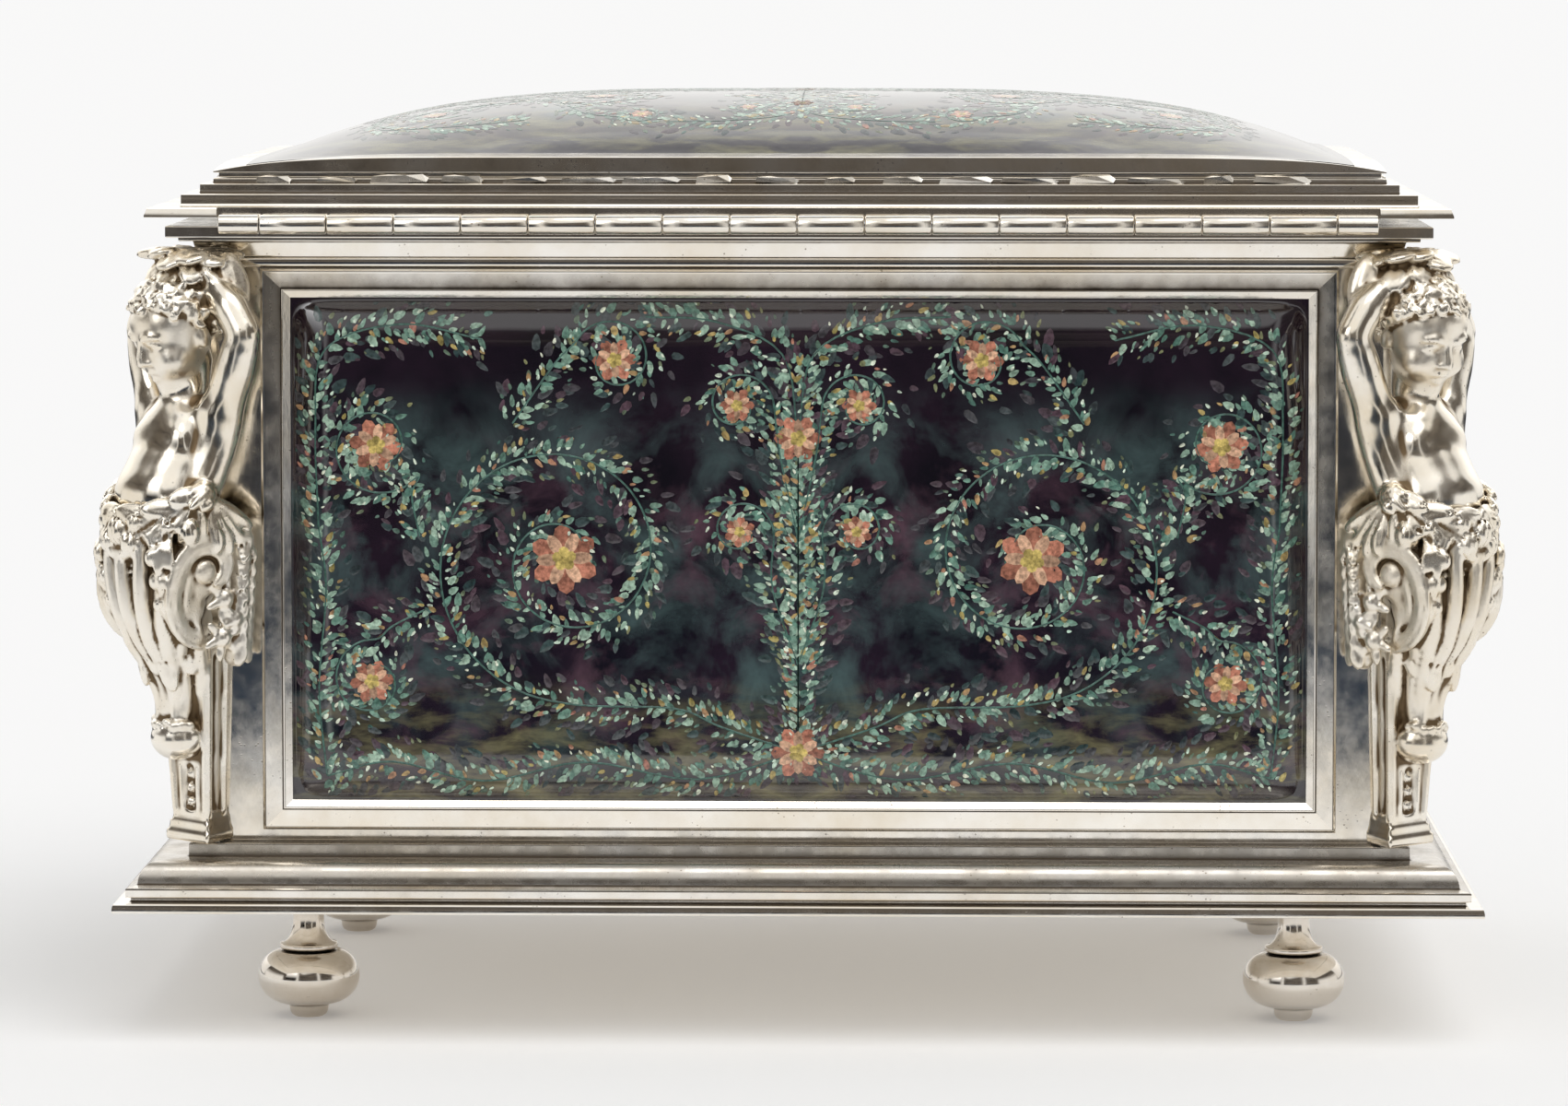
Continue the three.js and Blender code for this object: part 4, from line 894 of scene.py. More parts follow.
# Corner figures: four silvered castings from one mould, a curly-haired boy as a term with raised arms, leafy
# capital, fruit garland, scrolls and shell on a tapered foot, each screwed from below to the plinth's tread.
# The form is melted together from small soft solids in a block of samples and skinned.
CROWN, FIGURE_BOTTOM, FIGURE_REACH, SAMPLE = 122.1, 29.95, 18.2, 0.355
block_low = np.array([-15.6, -22.4, FIGURE_BOTTOM - CROWN - 0.7])
block_high = np.array([15.6, 3.2, 0.7])
block_count = np.ceil((block_high - block_low) / SAMPLE).astype(int) + 1
cast = np.full(block_count, 3.0, np.float32)
dulled = np.zeros(block_count, np.float32)
chance = np.random.default_rng(11)


def spot(spread, reach, drop):
    """A place on the figure: sideways, outwards on the corner's diagonal, and down from the crown."""
    return np.array([spread, -reach, -drop], float)


def samples(low, high):
    """The samples round a box: their window in the block, and their three coordinates."""
    first = np.clip(np.floor((low - block_low) / SAMPLE).astype(int) - 1, 0, block_count - 1)
    last = np.clip(np.ceil((high - block_low) / SAMPLE).astype(int) + 2, first + 1, block_count)
    window = tuple(slice(a, b) for a, b in zip(first, last))
    axes = [block_low[k] + SAMPLE * np.arange(first[k], last[k]) for k in range(3)]
    return window, np.meshgrid(*axes, indexing="ij", sparse=True)


def melt(window, gap, soft, take=False, matte=0.0):
    """Joins a form to the casting, or takes it away, with a soft fillet and its own share of dull finish."""
    was = -cast[window] if take else cast[window]
    if not take or matte:
        dulled[window] = np.where(gap < was + 0.2, matte, dulled[window])
    share = np.clip(0.5 + 0.5 * (was - gap) / soft, 0, 1)
    joined = was + (gap - was) * share - soft * share * (1 - share)
    cast[window] = -joined if take else joined


def frame_of(along, out):
    """Rows are the unit directions along a form, across it and out of it."""
    along = np.asarray(along, float) / np.linalg.norm(along)
    out = np.asarray(out, float) - along * np.dot(out, along)
    out /= np.linalg.norm(out)
    return np.stack([along, np.cross(out, along), out])


def egg(middle, radii, soft=0.8, axes=None, take=False, matte=0.0):
    radii = np.asarray(radii, float)
    axes = np.eye(3) if axes is None else axes
    reach = np.sqrt(((axes * radii[:, None]) ** 2).sum(0)) + soft
    window, (x, y, z) = samples(middle - reach, middle + reach)
    x, y, z = x - middle[0], y - middle[1], z - middle[2]
    local = [row[0] * x + row[1] * y + row[2] * z for row in axes]
    near = np.sqrt(sum((v / r) ** 2 for v, r in zip(local, radii)))
    slope = np.sqrt(sum((v / r ** 2) ** 2 for v, r in zip(local, radii)))
    melt(window, near * (near - 1) / np.maximum(slope, 1e-6), soft, take, matte)


def limb(start, end, start_radius, end_radius, soft=0.8, take=False, matte=0.0):
    reach = max(start_radius, end_radius) + soft
    window, (x, y, z) = samples(np.minimum(start, end) - reach, np.maximum(start, end) + reach)
    run = end - start
    x, y, z = x - start[0], y - start[1], z - start[2]
    share = np.clip((x * run[0] + y * run[1] + z * run[2]) / max(run @ run, 1e-9), 0, 1)
    gap = np.sqrt((x - share * run[0]) ** 2 + (y - share * run[1]) ** 2 + (z - share * run[2]) ** 2)
    melt(window, gap - (start_radius + (end_radius - start_radius) * share), soft, take, matte)


def strand(places, radii, soft=0.5, take=False, matte=0.0):
    """A smooth run of limbs through places, tapering through the radii."""
    if len(places) > 2:
        places = smooth_line(places, 4)
    radii = np.interp(np.linspace(0, 1, len(places)), np.linspace(0, 1, len(radii)), radii)
    for a, b, ra, rb in zip(places[:-1], places[1:], radii[:-1], radii[1:]):
        limb(a, b, ra, rb, soft, take, matte)


def leaf(base, tip, width, out, thick=0.55, vein=True, soft=0.3, matte=0.0):
    """A lance leaf with a raised rib between two hollowed halves."""
    along = tip - base
    axes = frame_of(along, out)
    length = np.linalg.norm(along)
    egg(base + 0.46 * along, (0.56 * length, width / 2, thick), soft, axes, False, matte)
    if vein:
        for half in (-1, 1):
            groove = axes[1] * half * width * 0.2 + axes[2] * thick * 1.05
            start, end = base + 0.15 * along + groove, base + 0.75 * along + groove * 0.8
            limb(start, end, 0.30, 0.12, 0.25, take=True)


def on_oval(angle, middle_reach, half_spread, half_reach, drop):
    """A place on a level oval round the figure; angle 0 is its front."""
    a = math.radians(angle)
    return spot(half_spread * math.sin(a), middle_reach + half_reach * math.cos(a), drop)


def outward(angle, droop=0.0):
    a = math.radians(angle)
    return np.array([math.sin(a), -math.cos(a), -droop])


def acanthus(base, tip, width, out, matte, fingers=3):
    """A broad ribbed leaf whose fingers fan from its base and end in a scalloped rim."""
    along, across, up = frame_of(tip - base, out)
    length = np.linalg.norm(tip - base)
    thick = 0.54 * width / (fingers - 1)
    for k in np.linspace(-1, 1, fingers):
        rise = up * 0.16 * length * (1 - 0.4 * k * k)
        middle = base + along * 0.55 * length + across * width * 0.46 * k + rise
        end = base + along * length * (1 - 0.22 * k * k) + across * width * 0.44 * k
        root = base + across * width * 0.2 * k - up * 1.6 * thick
        strand([root, middle, end], (0.7 * thick, 1.15 * thick, 0.75 * thick), 0.14, matte=matte)


# capital: a leafy cushion under the cornice, with broad ribbed leaves that droop over its rim
egg(spot(0, 4.6, 2.1), (6.6, 5.2, 2.0), 0.6, matte=0.4)
egg(spot(0, 5.0, 5.2), (5.4, 4.6, 3.4), 0.8, matte=0.4)
for angle in (-140, -104, -70, -34, 0, 36, 72, 108, 140):
    lift, grow = chance.uniform(-1.2, 0.9), chance.uniform(-1.2, 0.3)
    tip = on_oval(angle + 14, 4.8, 9.3 + grow, 7.5 + grow, 2.4 + lift)
    leaf(on_oval(angle, 4.8, 2.6, 2.0, 0.9), tip, 5.6, outward(angle, -1.5), 0.95, soft=0.15, matte=0.3)
for angle in (-118, -84, -50, -16, 20, 54, 90, 122):
    tip = on_oval(angle - 12, 4.8, 7.9, 6.5, 5.4 + chance.uniform(-0.6, 0.9))
    leaf(on_oval(angle, 4.8, 4.4, 3.5, 2.2), tip, 4.2, outward(angle, -0.5), 0.9, soft=0.15, matte=0.3)
for side in (-1, 1):
    tip = spot(side * 10.2, 3.0, 9.4)
    leaf(spot(side * 7.4, 3.6, 1.4), tip, 4.4, (side, -0.5, 0.1), 1.0, soft=0.2, matte=0.3)

# head, turned a little to one side and bowed; the face is a plain calm child's face
turn, bow = math.radians(10), math.radians(22)
ahead = np.array([-math.sin(turn) * math.cos(bow), -math.cos(turn) * math.cos(bow), -math.sin(bow)])
head_axes = frame_of(ahead, (0, 0, 1))[[1, 0, 2]]
head_axes[0] *= -1 if head_axes[0][0] < 0 else 1
head_middle = spot(0, 8.0, 13.2)


def on_head(side, front, up):
    return head_middle + np.array([side, front, up], float) @ head_axes


def head_egg(side, front, up, radii, soft=0.8, take=False, matte=0.45):
    egg(on_head(side, front, up), radii, soft, head_axes, take, matte)


def features(places, radii, soft, take=False):
    strand([on_head(*place) for place in places], radii, soft, take, matte=0.3)


head_egg(0, -0.8, 1.9, (6.2, 6.7, 6.3))
head_egg(0, 1.5, -1.9, (5.3, 4.9, 5.6), 1.6)
head_egg(0, 3.0, 2.6, (4.8, 3.1, 3.2), 1.0)
head_egg(0, 3.5, -4.6, (2.7, 2.3, 2.1), 1.2)
head_egg(0, 3.8, -6.6, (2.4, 1.9, 1.7), 1.0)
head_egg(0, 1.4, -5.8, (3.0, 3.3, 2.1), 1.4)
for side in (-1, 1):
    head_egg(side * 2.9, 3.6, -2.8, (2.6, 2.4, 2.5), 1.0)
    head_egg(side * 2.4, 6.7, 0.0, (1.7, 1.3, 0.95), 0.5, take=True)
    head_egg(side * 2.4, 4.75, -0.1, (1.3, 1.15, 0.85), 0.1)
    eyelid = ((3.7, 4.9, 0.0), (2.9, 5.6, 0.6), (1.9, 5.8, 0.65), (1.1, 5.6, 0.1))
    eyebrow = ((4.0, 4.9, 1.4), (2.6, 5.8, 2.0), (1.0, 6.1, 1.5))
    features([(side * x, y, z) for x, y, z in eyelid], (0.3, 0.4, 0.3), 0.15)
    features([(side * x, y, z) for x, y, z in eyebrow], (0.3, 0.5, 0.4), 0.6)
    head_egg(side * 0.95, 6.4, -2.3, (0.65, 0.7, 0.6), 0.3)
    head_egg(side * 5.7, -1.4, -1.2, (0.8, 1.3, 1.7), 0.4)
features([(0, 5.8, 1.2), (0, 6.3, -0.4), (0, 7.0, -1.9)], (0.6, 0.66, 0.8), 0.5)
head_egg(0, 7.05, -2.05, (0.95, 0.85, 0.75), 0.3)
features([(-1.6, 5.6, -4.25), (-0.6, 6.0, -3.9), (0.6, 6.0, -3.9), (1.6, 5.6, -4.25)],
         (0.35, 0.5, 0.35), 0.35)
features([(-1.1, 5.4, -5.05), (0, 5.65, -5.25), (1.1, 5.4, -5.05)], (0.35, 0.6, 0.35), 0.35)
features([(-1.9, 5.9, -4.55), (0, 6.55, -4.55), (1.9, 5.9, -4.55)], (0.2, 0.26, 0.2), 0.2, take=True)

# curls of hair over the crown, each a small knot with a comma-shaped lock
CURLS, GOLDEN_TURN = 330, 2.39996
hair_middle, hair_radii = np.array([0, -0.9, 2.0]), np.array([6.3, 6.8, 6.4])
for i in range(CURLS):
    up = 1 - 2 * (i + 0.5) / CURLS
    level = math.sqrt(1 - up * up)
    way = np.array([level * math.cos(GOLDEN_TURN * i), level * math.sin(GOLDEN_TURN * i), up])
    brow = way[1] > 0.2 and way[2] < 0.6 - 0.4 * abs(way[0])
    temple = way[1] > -0.45 and way[2] < 0.9 * max(way[1], 0) - 0.12
    if brow or temple or way[2] < -0.55:
        continue
    size = chance.uniform(0.75, 1.05)
    place = hair_middle + way * hair_radii
    head_egg(*place, (size, size, size), 0.12, matte=0.25)
    start = chance.uniform(0, 6.28)
    across, over = frame_of(way, (0.3, 0.2, 0.9))[1:]
    lock = []
    for t in np.linspace(0, 2.8, 4):
        swirl = math.cos(start + t) * across + math.sin(start + t) * over
        lock.append(on_head(*(place + way * size * (0.95 - 0.12 * t) + 0.62 * swirl)))
    strand(lock, (0.42, 0.24), 0.1, matte=0.2)

# neck, chest and raised arms, and a belly that leans out over the garland
limb(on_head(0, -1.0, -5.2), spot(0, 6.8, 25.5), 3.3, 3.9, 1.6)
egg(spot(0, 6.9, 28.6), (7.5, 5.7, 5.6), 1.4)
egg(spot(0, 8.6, 33.4), (7.7, 6.1, 5.6), 2.0)
egg(spot(0, 11.0, 38.0), (8.0, 6.6, 6.2), 2.2)
for side in (-1, 1):
    egg(spot(side * 3.1, 11.0, 29.4), (2.9, 1.5, 2.2), 1.4)
    egg(spot(side * 7.4, 5.8, 25.2), (3.2, 3.2, 3.3), 1.6)
    strand([spot(side * 8.4, 5.2, 24.2), spot(side * 7.2, 6.2, 31.0), spot(side * 6.8, 9.2, 38.5)],
           (2.7, 2.7, 2.5), 1.6)
    strand([spot(side * 8.2, 5.4, 25.0), spot(side * 10.5, 4.9, 18.8), spot(side * 12.3, 4.6, 13.6)],
           (2.7, 2.85, 2.35), 1.0)
    egg(spot(side * 12.4, 4.6, 13.0), (2.3, 2.2, 2.3), 1.0)
    strand([spot(side * 12.3, 4.6, 12.8), spot(side * 9.4, 5.0, 8.9), spot(side * 6.0, 5.4, 5.9)],
           (2.2, 2.4, 1.6), 1.0)
    egg(spot(side * 4.9, 5.6, 5.2), (2.0, 1.7, 1.4), 0.7)


# garland: a swag of fruit and long leaves that dips in front between two knots at the hips, with leaf
# sprays and pods that hang from each knot
def swag(angle, grow=0.0, drop=0.0):
    """A place along the swag; angle 0 is the front."""
    dip = 37.9 + 4.4 * max(0.0, math.cos(math.radians(angle))) ** 0.8
    return on_oval(angle, 10.4, 8.9 + grow, 8.2 + grow, dip + drop)


strand([swag(a, -1.2) for a in range(-95, 96, 10)], (1.2, 1.7, 1.2), 0.5, matte=0.3)
for angle, drop, size in ((-52, 1.2, 1.6), (-19, -0.8, 1.7), (-14, 2.4, 2.1), (2, 0.6, 2.3),
                          (16, 2.7, 2.0), (21, -0.5, 1.7), (52, 1.2, 1.6)):
    fruit = swag(angle, 0.3, drop)
    egg(fruit, (size, size, 1.1 * size), 0.15, matte=0.2)
    for lean in (-50, 0, 50):
        way = outward(angle + lean) * size * 1.02
        strand([fruit + 0.5 * way + (0, 0, 0.9 * size), fruit + way, fruit + 0.5 * way - (0, 0, 0.9 * size)],
               (0.12, 0.2, 0.12), 0.25, take=True)
for angle in np.linspace(-92, 92, 8):
    way = 1 if angle > 0 else -1
    sway = chance.uniform(-0.4, 0.5)
    leaf(swag(angle, 0.5, -0.8), swag(angle - way * 38, 1.2, -2.2 + sway), 3.2,
         outward(angle - way * 18, -0.4), 0.8, matte=0.2)
    leaf(swag(angle, 0.4, 0.8), swag(angle - way * 32, 1.1, 3.0 + sway), 3.3, outward(angle - way * 16, 0.3),
         0.8, matte=0.3)
for angle, drop in ((-44, 2.6), (-38, 3.0), (-34, 1.9), (44, 2.6), (38, 3.0), (34, 1.9), (-9, 4.2), (9, 4.2)):
    egg(swag(angle, 0.6, drop), (0.95, 0.95, 0.95), 0.15, matte=0.25)
for side in (-1, 1):
    knot = spot(side * 9.2, 10.2, 37.6)
    egg(knot, (2.0, 2.3, 2.3), 0.4)
    acanthus(knot + np.array([0, 1.6, 0.8]), knot + np.array([side * 1.0, -2.8, -1.6]), 3.0,
             (side, -0.3, 0.6), 0.15)
    for reach, drop, width in ((8.2, 46.4, 2.9), (5.6, 46.8, 3.1), (3.0, 45.8, 3.1), (1.2, 43.0, 2.7)):
        leaf(spot(side * 9.4, 8.6, 38.4), spot(side * (10.7 - 0.1 * (8 - reach)), reach, drop), width,
             (side, -0.2, 0.3), 0.95, matte=0.15)
    for reach, drop in ((12.4, 45.6), (14.2, 45.0), (10.8, 45.4)):
        leaf(spot(side * 9.2, 11.2, 39.4), spot(side * (9.7 - 0.35 * (reach - 10.8)), reach, drop), 2.6,
             (side, -0.5, 0.2), 1.1, matte=0.1)
    egg(spot(side * 9.3, 12.8, 43.2), (1.5, 1.7, 2.3), 0.2, matte=0.05)

# fluted shell, pebbled between its ridges, that gathers into a leafy leg and a curled end
for drop, middle, wide, deep in ((47.0, 10.6, 8.4, 7.6), (52.5, 10.4, 7.8, 7.5), (57.5, 9.8, 6.8, 6.8)):
    egg(spot(0, middle, drop), (wide, deep, 5.2), 1.4, matte=0.9)
egg(spot(0, 7.9, 63.0), (4.7, 4.4, 4.8), 1.4, matte=0.8)
egg(spot(0, 7.0, 69.5), (3.3, 3.0, 5.2), 1.4, matte=0.6)
shell_levels = (
    (44.5, 10.8, 8.3, 7.6), (48.0, 10.8, 8.6, 8.0), (52.0, 10.6, 8.2, 7.8), (56.0, 10.2, 7.4, 7.2),
    (60.0, 9.3, 6.2, 6.0), (63.5, 8.2, 4.7, 4.5), (68.0, 7.2, 3.4, 3.0), (72.5, 7.1, 3.2, 2.9))
for angle in np.linspace(-81, 81, 7):
    rib = [on_oval(angle * (1 - 0.05 * i), middle, wide, deep, drop)
           for i, (drop, middle, wide, deep) in enumerate(shell_levels)]
    strand(rib, (0.8, 1.0, 1.0, 0.9, 0.7), 0.7, matte=0.55)
for angle in np.linspace(-67.5, 67.5, 6):
    for drop in np.linspace(45.0, 60.0, 15):
        shrink = (drop - 45.0) / 15.0
        size = chance.uniform(0.45, 0.65) * (1 - 0.3 * shrink)
        pebble = on_oval(angle * (1 - 0.2 * shrink) + chance.uniform(-4, 4), 10.8 - 1.8 * shrink,
                         8.4 - 2.6 * shrink ** 2, 7.8 - 2.1 * shrink ** 2, drop)
        egg(pebble, (size, size, size), 0.1, matte=1.0)
blade_levels = (
    (56.0, 10.1, 7.5, 7.3), (60.5, 9.2, 6.4, 6.2), (65.0, 7.8, 4.7, 4.4), (69.5, 7.2, 3.6, 3.2),
    (73.0, 7.3, 3.6, 3.2))
for angle, sway in ((-88, -6), (-52, 5), (-18, -5), (16, 6), (50, -5), (86, 6)):
    blade = [on_oval(angle + sway * k, middle, wide, deep, drop)
             for k, (drop, middle, wide, deep) in enumerate(blade_levels)]
    strand(blade, (0.5, 1.15, 1.2, 0.95, 0.6), 0.3, matte=0.35)
for angle, drop in ((-70, 62.0), (-35, 64.5), (0, 62.5), (33, 65.0), (68, 62.5)):
    tip = on_oval(angle + 9, 7.8, 5.2, 5.0, drop + 3.2)
    leaf(on_oval(angle, 8.7, 5.2, 5.2, drop - 2.4), tip, 3.0, outward(angle, 0.2), 0.8, soft=0.15, matte=0.3)

# C-scrolls on the hips: a smooth dull band that rolls up into a volute, with fruit and leaves behind it
for side in (-1, 1):
    eye = spot(side * 9.3, 9.9, 49.3)
    band = [spot(side * s, n, d) for s, n, d in (
        (9.4, 7.6, 51.2), (9.3, 6.4, 49.2), (9.2, 6.6, 47.2), (9.3, 8.2, 45.8), (9.3, 10.4, 45.4),
        (9.1, 12.4, 46.0), (8.7, 14.0, 47.6), (8.3, 14.9, 49.9), (7.9, 15.3, 52.6), (7.6, 15.0, 55.2),
        (7.3, 13.8, 57.6), (7.0, 12.0, 59.2), (6.7, 9.6, 60.0))]
    egg(eye - np.array([side * 1.6, 0, 0]), (1.7, 4.4, 4.4), 0.5, matte=0.8)
    strand(band, (1.0, 1.2, 1.25, 1.2, 1.0), 0.25, matte=0.8)
    centre = spot(side * 8.6, 10.2, 51.6)
    for grow, radius in ((1.2, 0.45), (-1.05, 0.4)):
        rim = []
        for p in band:
            away = p - centre
            away[0] = 0
            rim.append(p + grow * away / np.linalg.norm(away) + np.array([side * 0.7, 0, 0]))
        strand(rim, (radius,), 0.15, matte=0.5)
    egg(eye + np.array([side * 0.2, 0, 0]), (1.0, 1.9, 1.9), 0.3, matte=0.7)
    egg(spot(side * 6.6, 11.2, 54.6), (1.8, 3.0, 3.2), 0.8, matte=0.9)
    limb(spot(side * 9.0, 2.4, 45.0), spot(side * 7.4, 2.8, 63.0), 1.9, 1.6, 0.6, matte=0.7)
    for drop in np.linspace(45.0, 61.0, 8):
        inset = 0.12 * (drop - 45)
        leaf(spot(side * 9.6, 2.6, drop), spot(side * (10.9 - inset), 3.6, drop + 3.4), 2.3,
             (side, -0.6, 0.2), 0.7, matte=0.4)
        leaf(spot(side * 9.2, 2.0, drop), spot(side * (10.2 - inset), 0.6, drop + 3.2), 2.0,
             (side, -0.1, 0.2), 0.6, matte=0.5)
    for spread, reach, drop, size in ((8.9, 6.0, 53.8, 1.9), (8.4, 6.0, 59.8, 1.9), (9.4, 4.2, 57.0, 1.3)):
        heart = spot(side * spread, reach, drop)
        for k in range(6):
            a = math.radians(60 * k + 20)
            tip = heart + 2.0 * size * np.array([0, math.cos(a), math.sin(a)]) + np.array([side * 0.3, 0, 0])
            leaf(heart, tip, 1.7, (side, -0.3, 0.1), 0.6, vein=False, matte=0.4)
        egg(heart + np.array([side * 0.4, -0.1, 0]), (size * 0.7, size * 0.75, size * 0.85), 0.3, matte=0.4)
    for k, drop in enumerate((45.0, 48.6, 52.2)):
        acanthus(spot(side * (7.5 - 0.2 * k), 16.6 - 0.5 * k, drop - 1.2),
                 spot(side * (7.3 - 0.4 * k), 17.3 - 1.1 * k, drop + 4.2),
                 3.0 - 0.2 * k, (side * 0.6, -1, 0.15), 0.3)

# curled end of the leg: a full rounded bulb under ruffled leaf tips
egg(spot(0, 8.0, 75.8), (4.4, 4.2, 3.5), 0.8, matte=0.1)
for angle in np.linspace(-80, 80, 9):
    size = chance.uniform(0.6, 0.85)
    egg(on_oval(angle, 8.0, 3.7, 3.6, 73.3 + chance.uniform(-0.4, 0.4)), (size, size, size), 0.25, matte=0.4)


# tapered pilaster with a rosette panel in front and grained panels in its sides, on a moulded base
SPLAY = 0.458
BASE_DROP = CROWN - FIGURE_BOTTOM
SHAFT_DROP = BASE_DROP - 4.6


def prism(low_half, low_front, low_drop, high_half, high_front, high_drop, soft, matte=0.0):
    """A block that tapers between two levels, with sides that turn back towards the walls."""
    half_most, front_most = max(low_half, high_half) + 1, max(low_front, high_front) + 1
    window, (x, y, z) = samples(np.array([-half_most, -front_most, -low_drop - 1]),
                                np.array([half_most, 3.0, 1 - high_drop]))
    share = np.clip((z + low_drop) / (low_drop - high_drop), 0, 1)
    half = low_half + (high_half - low_half) * share
    front = low_front + (high_front - low_front) * share
    tall = np.abs(z + (low_drop + high_drop) / 2) - (low_drop - high_drop) / 2
    flank = (np.abs(x) - half + SPLAY * (front + y)) / math.hypot(1, SPLAY)
    melt(window, np.maximum(np.maximum(flank, -y - front), tall), soft, matte=matte)


prism(4.0, 5.7, SHAFT_DROP, 5.6, 6.9, 60.0, 0.3, 0.35)
strand([spot(0, 6.4, SHAFT_DROP - 1.2), spot(0, 6.75, 81.2)], (1.5,), 0.1, take=True)
for drop in (81.6, 83.8, 86.0):
    middle = spot(0, 5.5, drop)
    egg(middle, (0.4, 0.95, 0.4), 0.05, matte=0.1)
    for k in range(5):
        a = math.radians(72 * k + 90)
        petal = middle + np.array([0.58 * math.cos(a), 0, 0.58 * math.sin(a)])
        egg(petal, (0.36, 0.6, 0.36), 0.05, matte=0.2)
for side in (-1, 1):
    strand([spot(side * 3.7, 5.4, SHAFT_DROP), spot(side * 5.2, 6.6, 61.0)], (0.75, 0.9), 0.15, matte=0.3)
    strand([spot(side * 1.9, 5.75, SHAFT_DROP), spot(side * 2.1, 6.1, 80.5)], (0.28,), 0.1, matte=0.1)
    strand([spot(side * 3.4, 3.1, SHAFT_DROP - 0.8), spot(side * 4.6, 3.4, 63.5)], (0.9, 1.1), 0.12,
           take=True, matte=1.0)
    strand([spot(side * 2.0, 0.9, SHAFT_DROP), spot(side * 2.8, 0.9, 61.5)], (0.6, 0.7), 0.12, matte=0.2)
prism(4.5, 6.0, BASE_DROP - 3.7, 4.3, 5.8, BASE_DROP - 4.7, 0.12)
prism(4.9, 6.3, BASE_DROP - 2.6, 4.5, 5.9, BASE_DROP - 3.6, 0.12)
prism(5.4, 6.7, BASE_DROP, 5.4, 6.7, BASE_DROP - 1.5, 0.1)
prism(5.2, 6.5, BASE_DROP - 1.4, 4.8, 6.1, BASE_DROP - 2.7, 0.12)

# room for the body's corner and, above, for the cornice's bead; top, bottom and outer reach are cut flat
CORNER_ROOM, BEAD_ROOM, BEAD_BOTTOM, ROOT_TWO = 0.3, 3.5, 118.4, math.sqrt(2)
_, (x, y, z) = samples(block_low, block_high)
corner_gap = (y - np.abs(x) + CORNER_ROOM * ROOT_TWO) / ROOT_TWO
bead_gap = np.minimum((y - np.abs(x) + BEAD_ROOM * ROOT_TWO) / ROOT_TWO, z - (BEAD_BOTTOM - CROWN))
cast = np.maximum(cast, np.maximum(corner_gap, np.minimum(bead_gap, 3.0)))
cast = np.maximum(cast, np.maximum(z, FIGURE_BOTTOM - CROWN - z))
cast = np.maximum(cast, (np.abs(x) - y - FIGURE_REACH * ROOT_TWO) / ROOT_TWO)


def skin(field, low, step):
    """Quads over the zero level of a sampled field: one point in each cell that the level crosses."""
    inside = field < 0
    shape = np.array(field.shape) - 1
    total = np.zeros((*shape, 3), np.float32)
    crossings = np.zeros(shape, np.float32)
    for axis in range(3):
        others = [k for k in range(3) if k != axis]
        for shift_a in (0, 1):
            for shift_b in (0, 1):
                near = [slice(None)] * 3
                near[axis] = slice(0, shape[axis])
                near[others[0]] = slice(shift_a, shift_a + shape[others[0]])
                near[others[1]] = slice(shift_b, shift_b + shape[others[1]])
                far = list(near)
                far[axis] = slice(1, shape[axis] + 1)
                a, b = field[tuple(near)], field[tuple(far)]
                cross = inside[tuple(near)] != inside[tuple(far)]
                share = np.where(cross, a / np.where(cross, a - b, 1), 0)
                total[..., axis] += share
                total[..., others[0]] += shift_a * cross
                total[..., others[1]] += shift_b * cross
                crossings += cross
    used = crossings > 0
    index = np.full(shape, -1, np.int64)
    index[used] = np.arange(used.sum())
    points = low + step * (np.argwhere(used) + total[used] / crossings[used][:, None])
    quads = []
    for axis in range(3):
        b, c = [(1, 2), (2, 0), (0, 1)][axis]
        near, far = [slice(1, -1)] * 3, [slice(1, -1)] * 3
        near[axis], far[axis] = slice(0, -1), slice(1, None)
        cross = inside[tuple(near)] != inside[tuple(far)]
        at = np.argwhere(cross)
        at[:, b] += 1
        at[:, c] += 1
        flip = inside[tuple(near)][cross]
        ring = []
        for db, dc in ((0, 0), (-1, 0), (-1, -1), (0, -1)):
            cell = at.copy()
            cell[:, b] += db
            cell[:, c] += dc
            ring.append(index[tuple(cell.T)])
        ring = np.stack(ring, 1)
        ring[~flip] = ring[~flip][:, ::-1]
        quads.append(ring)
    return points, np.concatenate(quads)


def neighbour_mean(values, pairs, count):
    """Mean of each point's neighbours along the mesh's edges."""
    total = np.zeros_like(values)
    for k in range(values.shape[1]):
        total[:, k] = np.bincount(pairs[:, 0], values[pairs[:, 1], k], count)
    return total / np.maximum(np.bincount(pairs[:, 0], minlength=count), 1)[:, None]


figure_points, figure_faces = skin(cast, block_low, SAMPLE)
edges = np.concatenate([figure_faces[:, [k, (k + 1) % 4]] for k in range(4)])
edges = np.concatenate([edges, edges[:, ::-1]])
count = len(figure_points)
for smoothing in (0.45, 0.2):
    figure_points += smoothing * (neighbour_mean(figure_points, edges, count) - figure_points)
normals = np.zeros_like(figure_points)
crossed = np.cross(figure_points[figure_faces[:, 2]] - figure_points[figure_faces[:, 0]],
                   figure_points[figure_faces[:, 3]] - figure_points[figure_faces[:, 1]])
for k in range(4):
    for axis in range(3):
        normals[:, axis] += np.bincount(figure_faces[:, k], crossed[:, axis], count)
normals /= np.maximum(np.linalg.norm(normals, axis=1), 1e-9)[:, None]
sunk = ((neighbour_mean(figure_points, edges, count) - figure_points) * normals).sum(1)[:, None]
for _ in range(3):
    sunk = 0.4 * sunk + 0.6 * neighbour_mean(sunk, edges, count)
wide_sunk = sunk.copy()
for _ in range(14):
    wide_sunk = neighbour_mean(wide_sunk, edges, count)
figure_hollow = np.clip(sunk[:, 0] / 0.022 + wide_sunk[:, 0] / 0.011 - 0.15, 0, 1)
side, front, up = ((figure_points - head_middle) @ head_axes.T).T
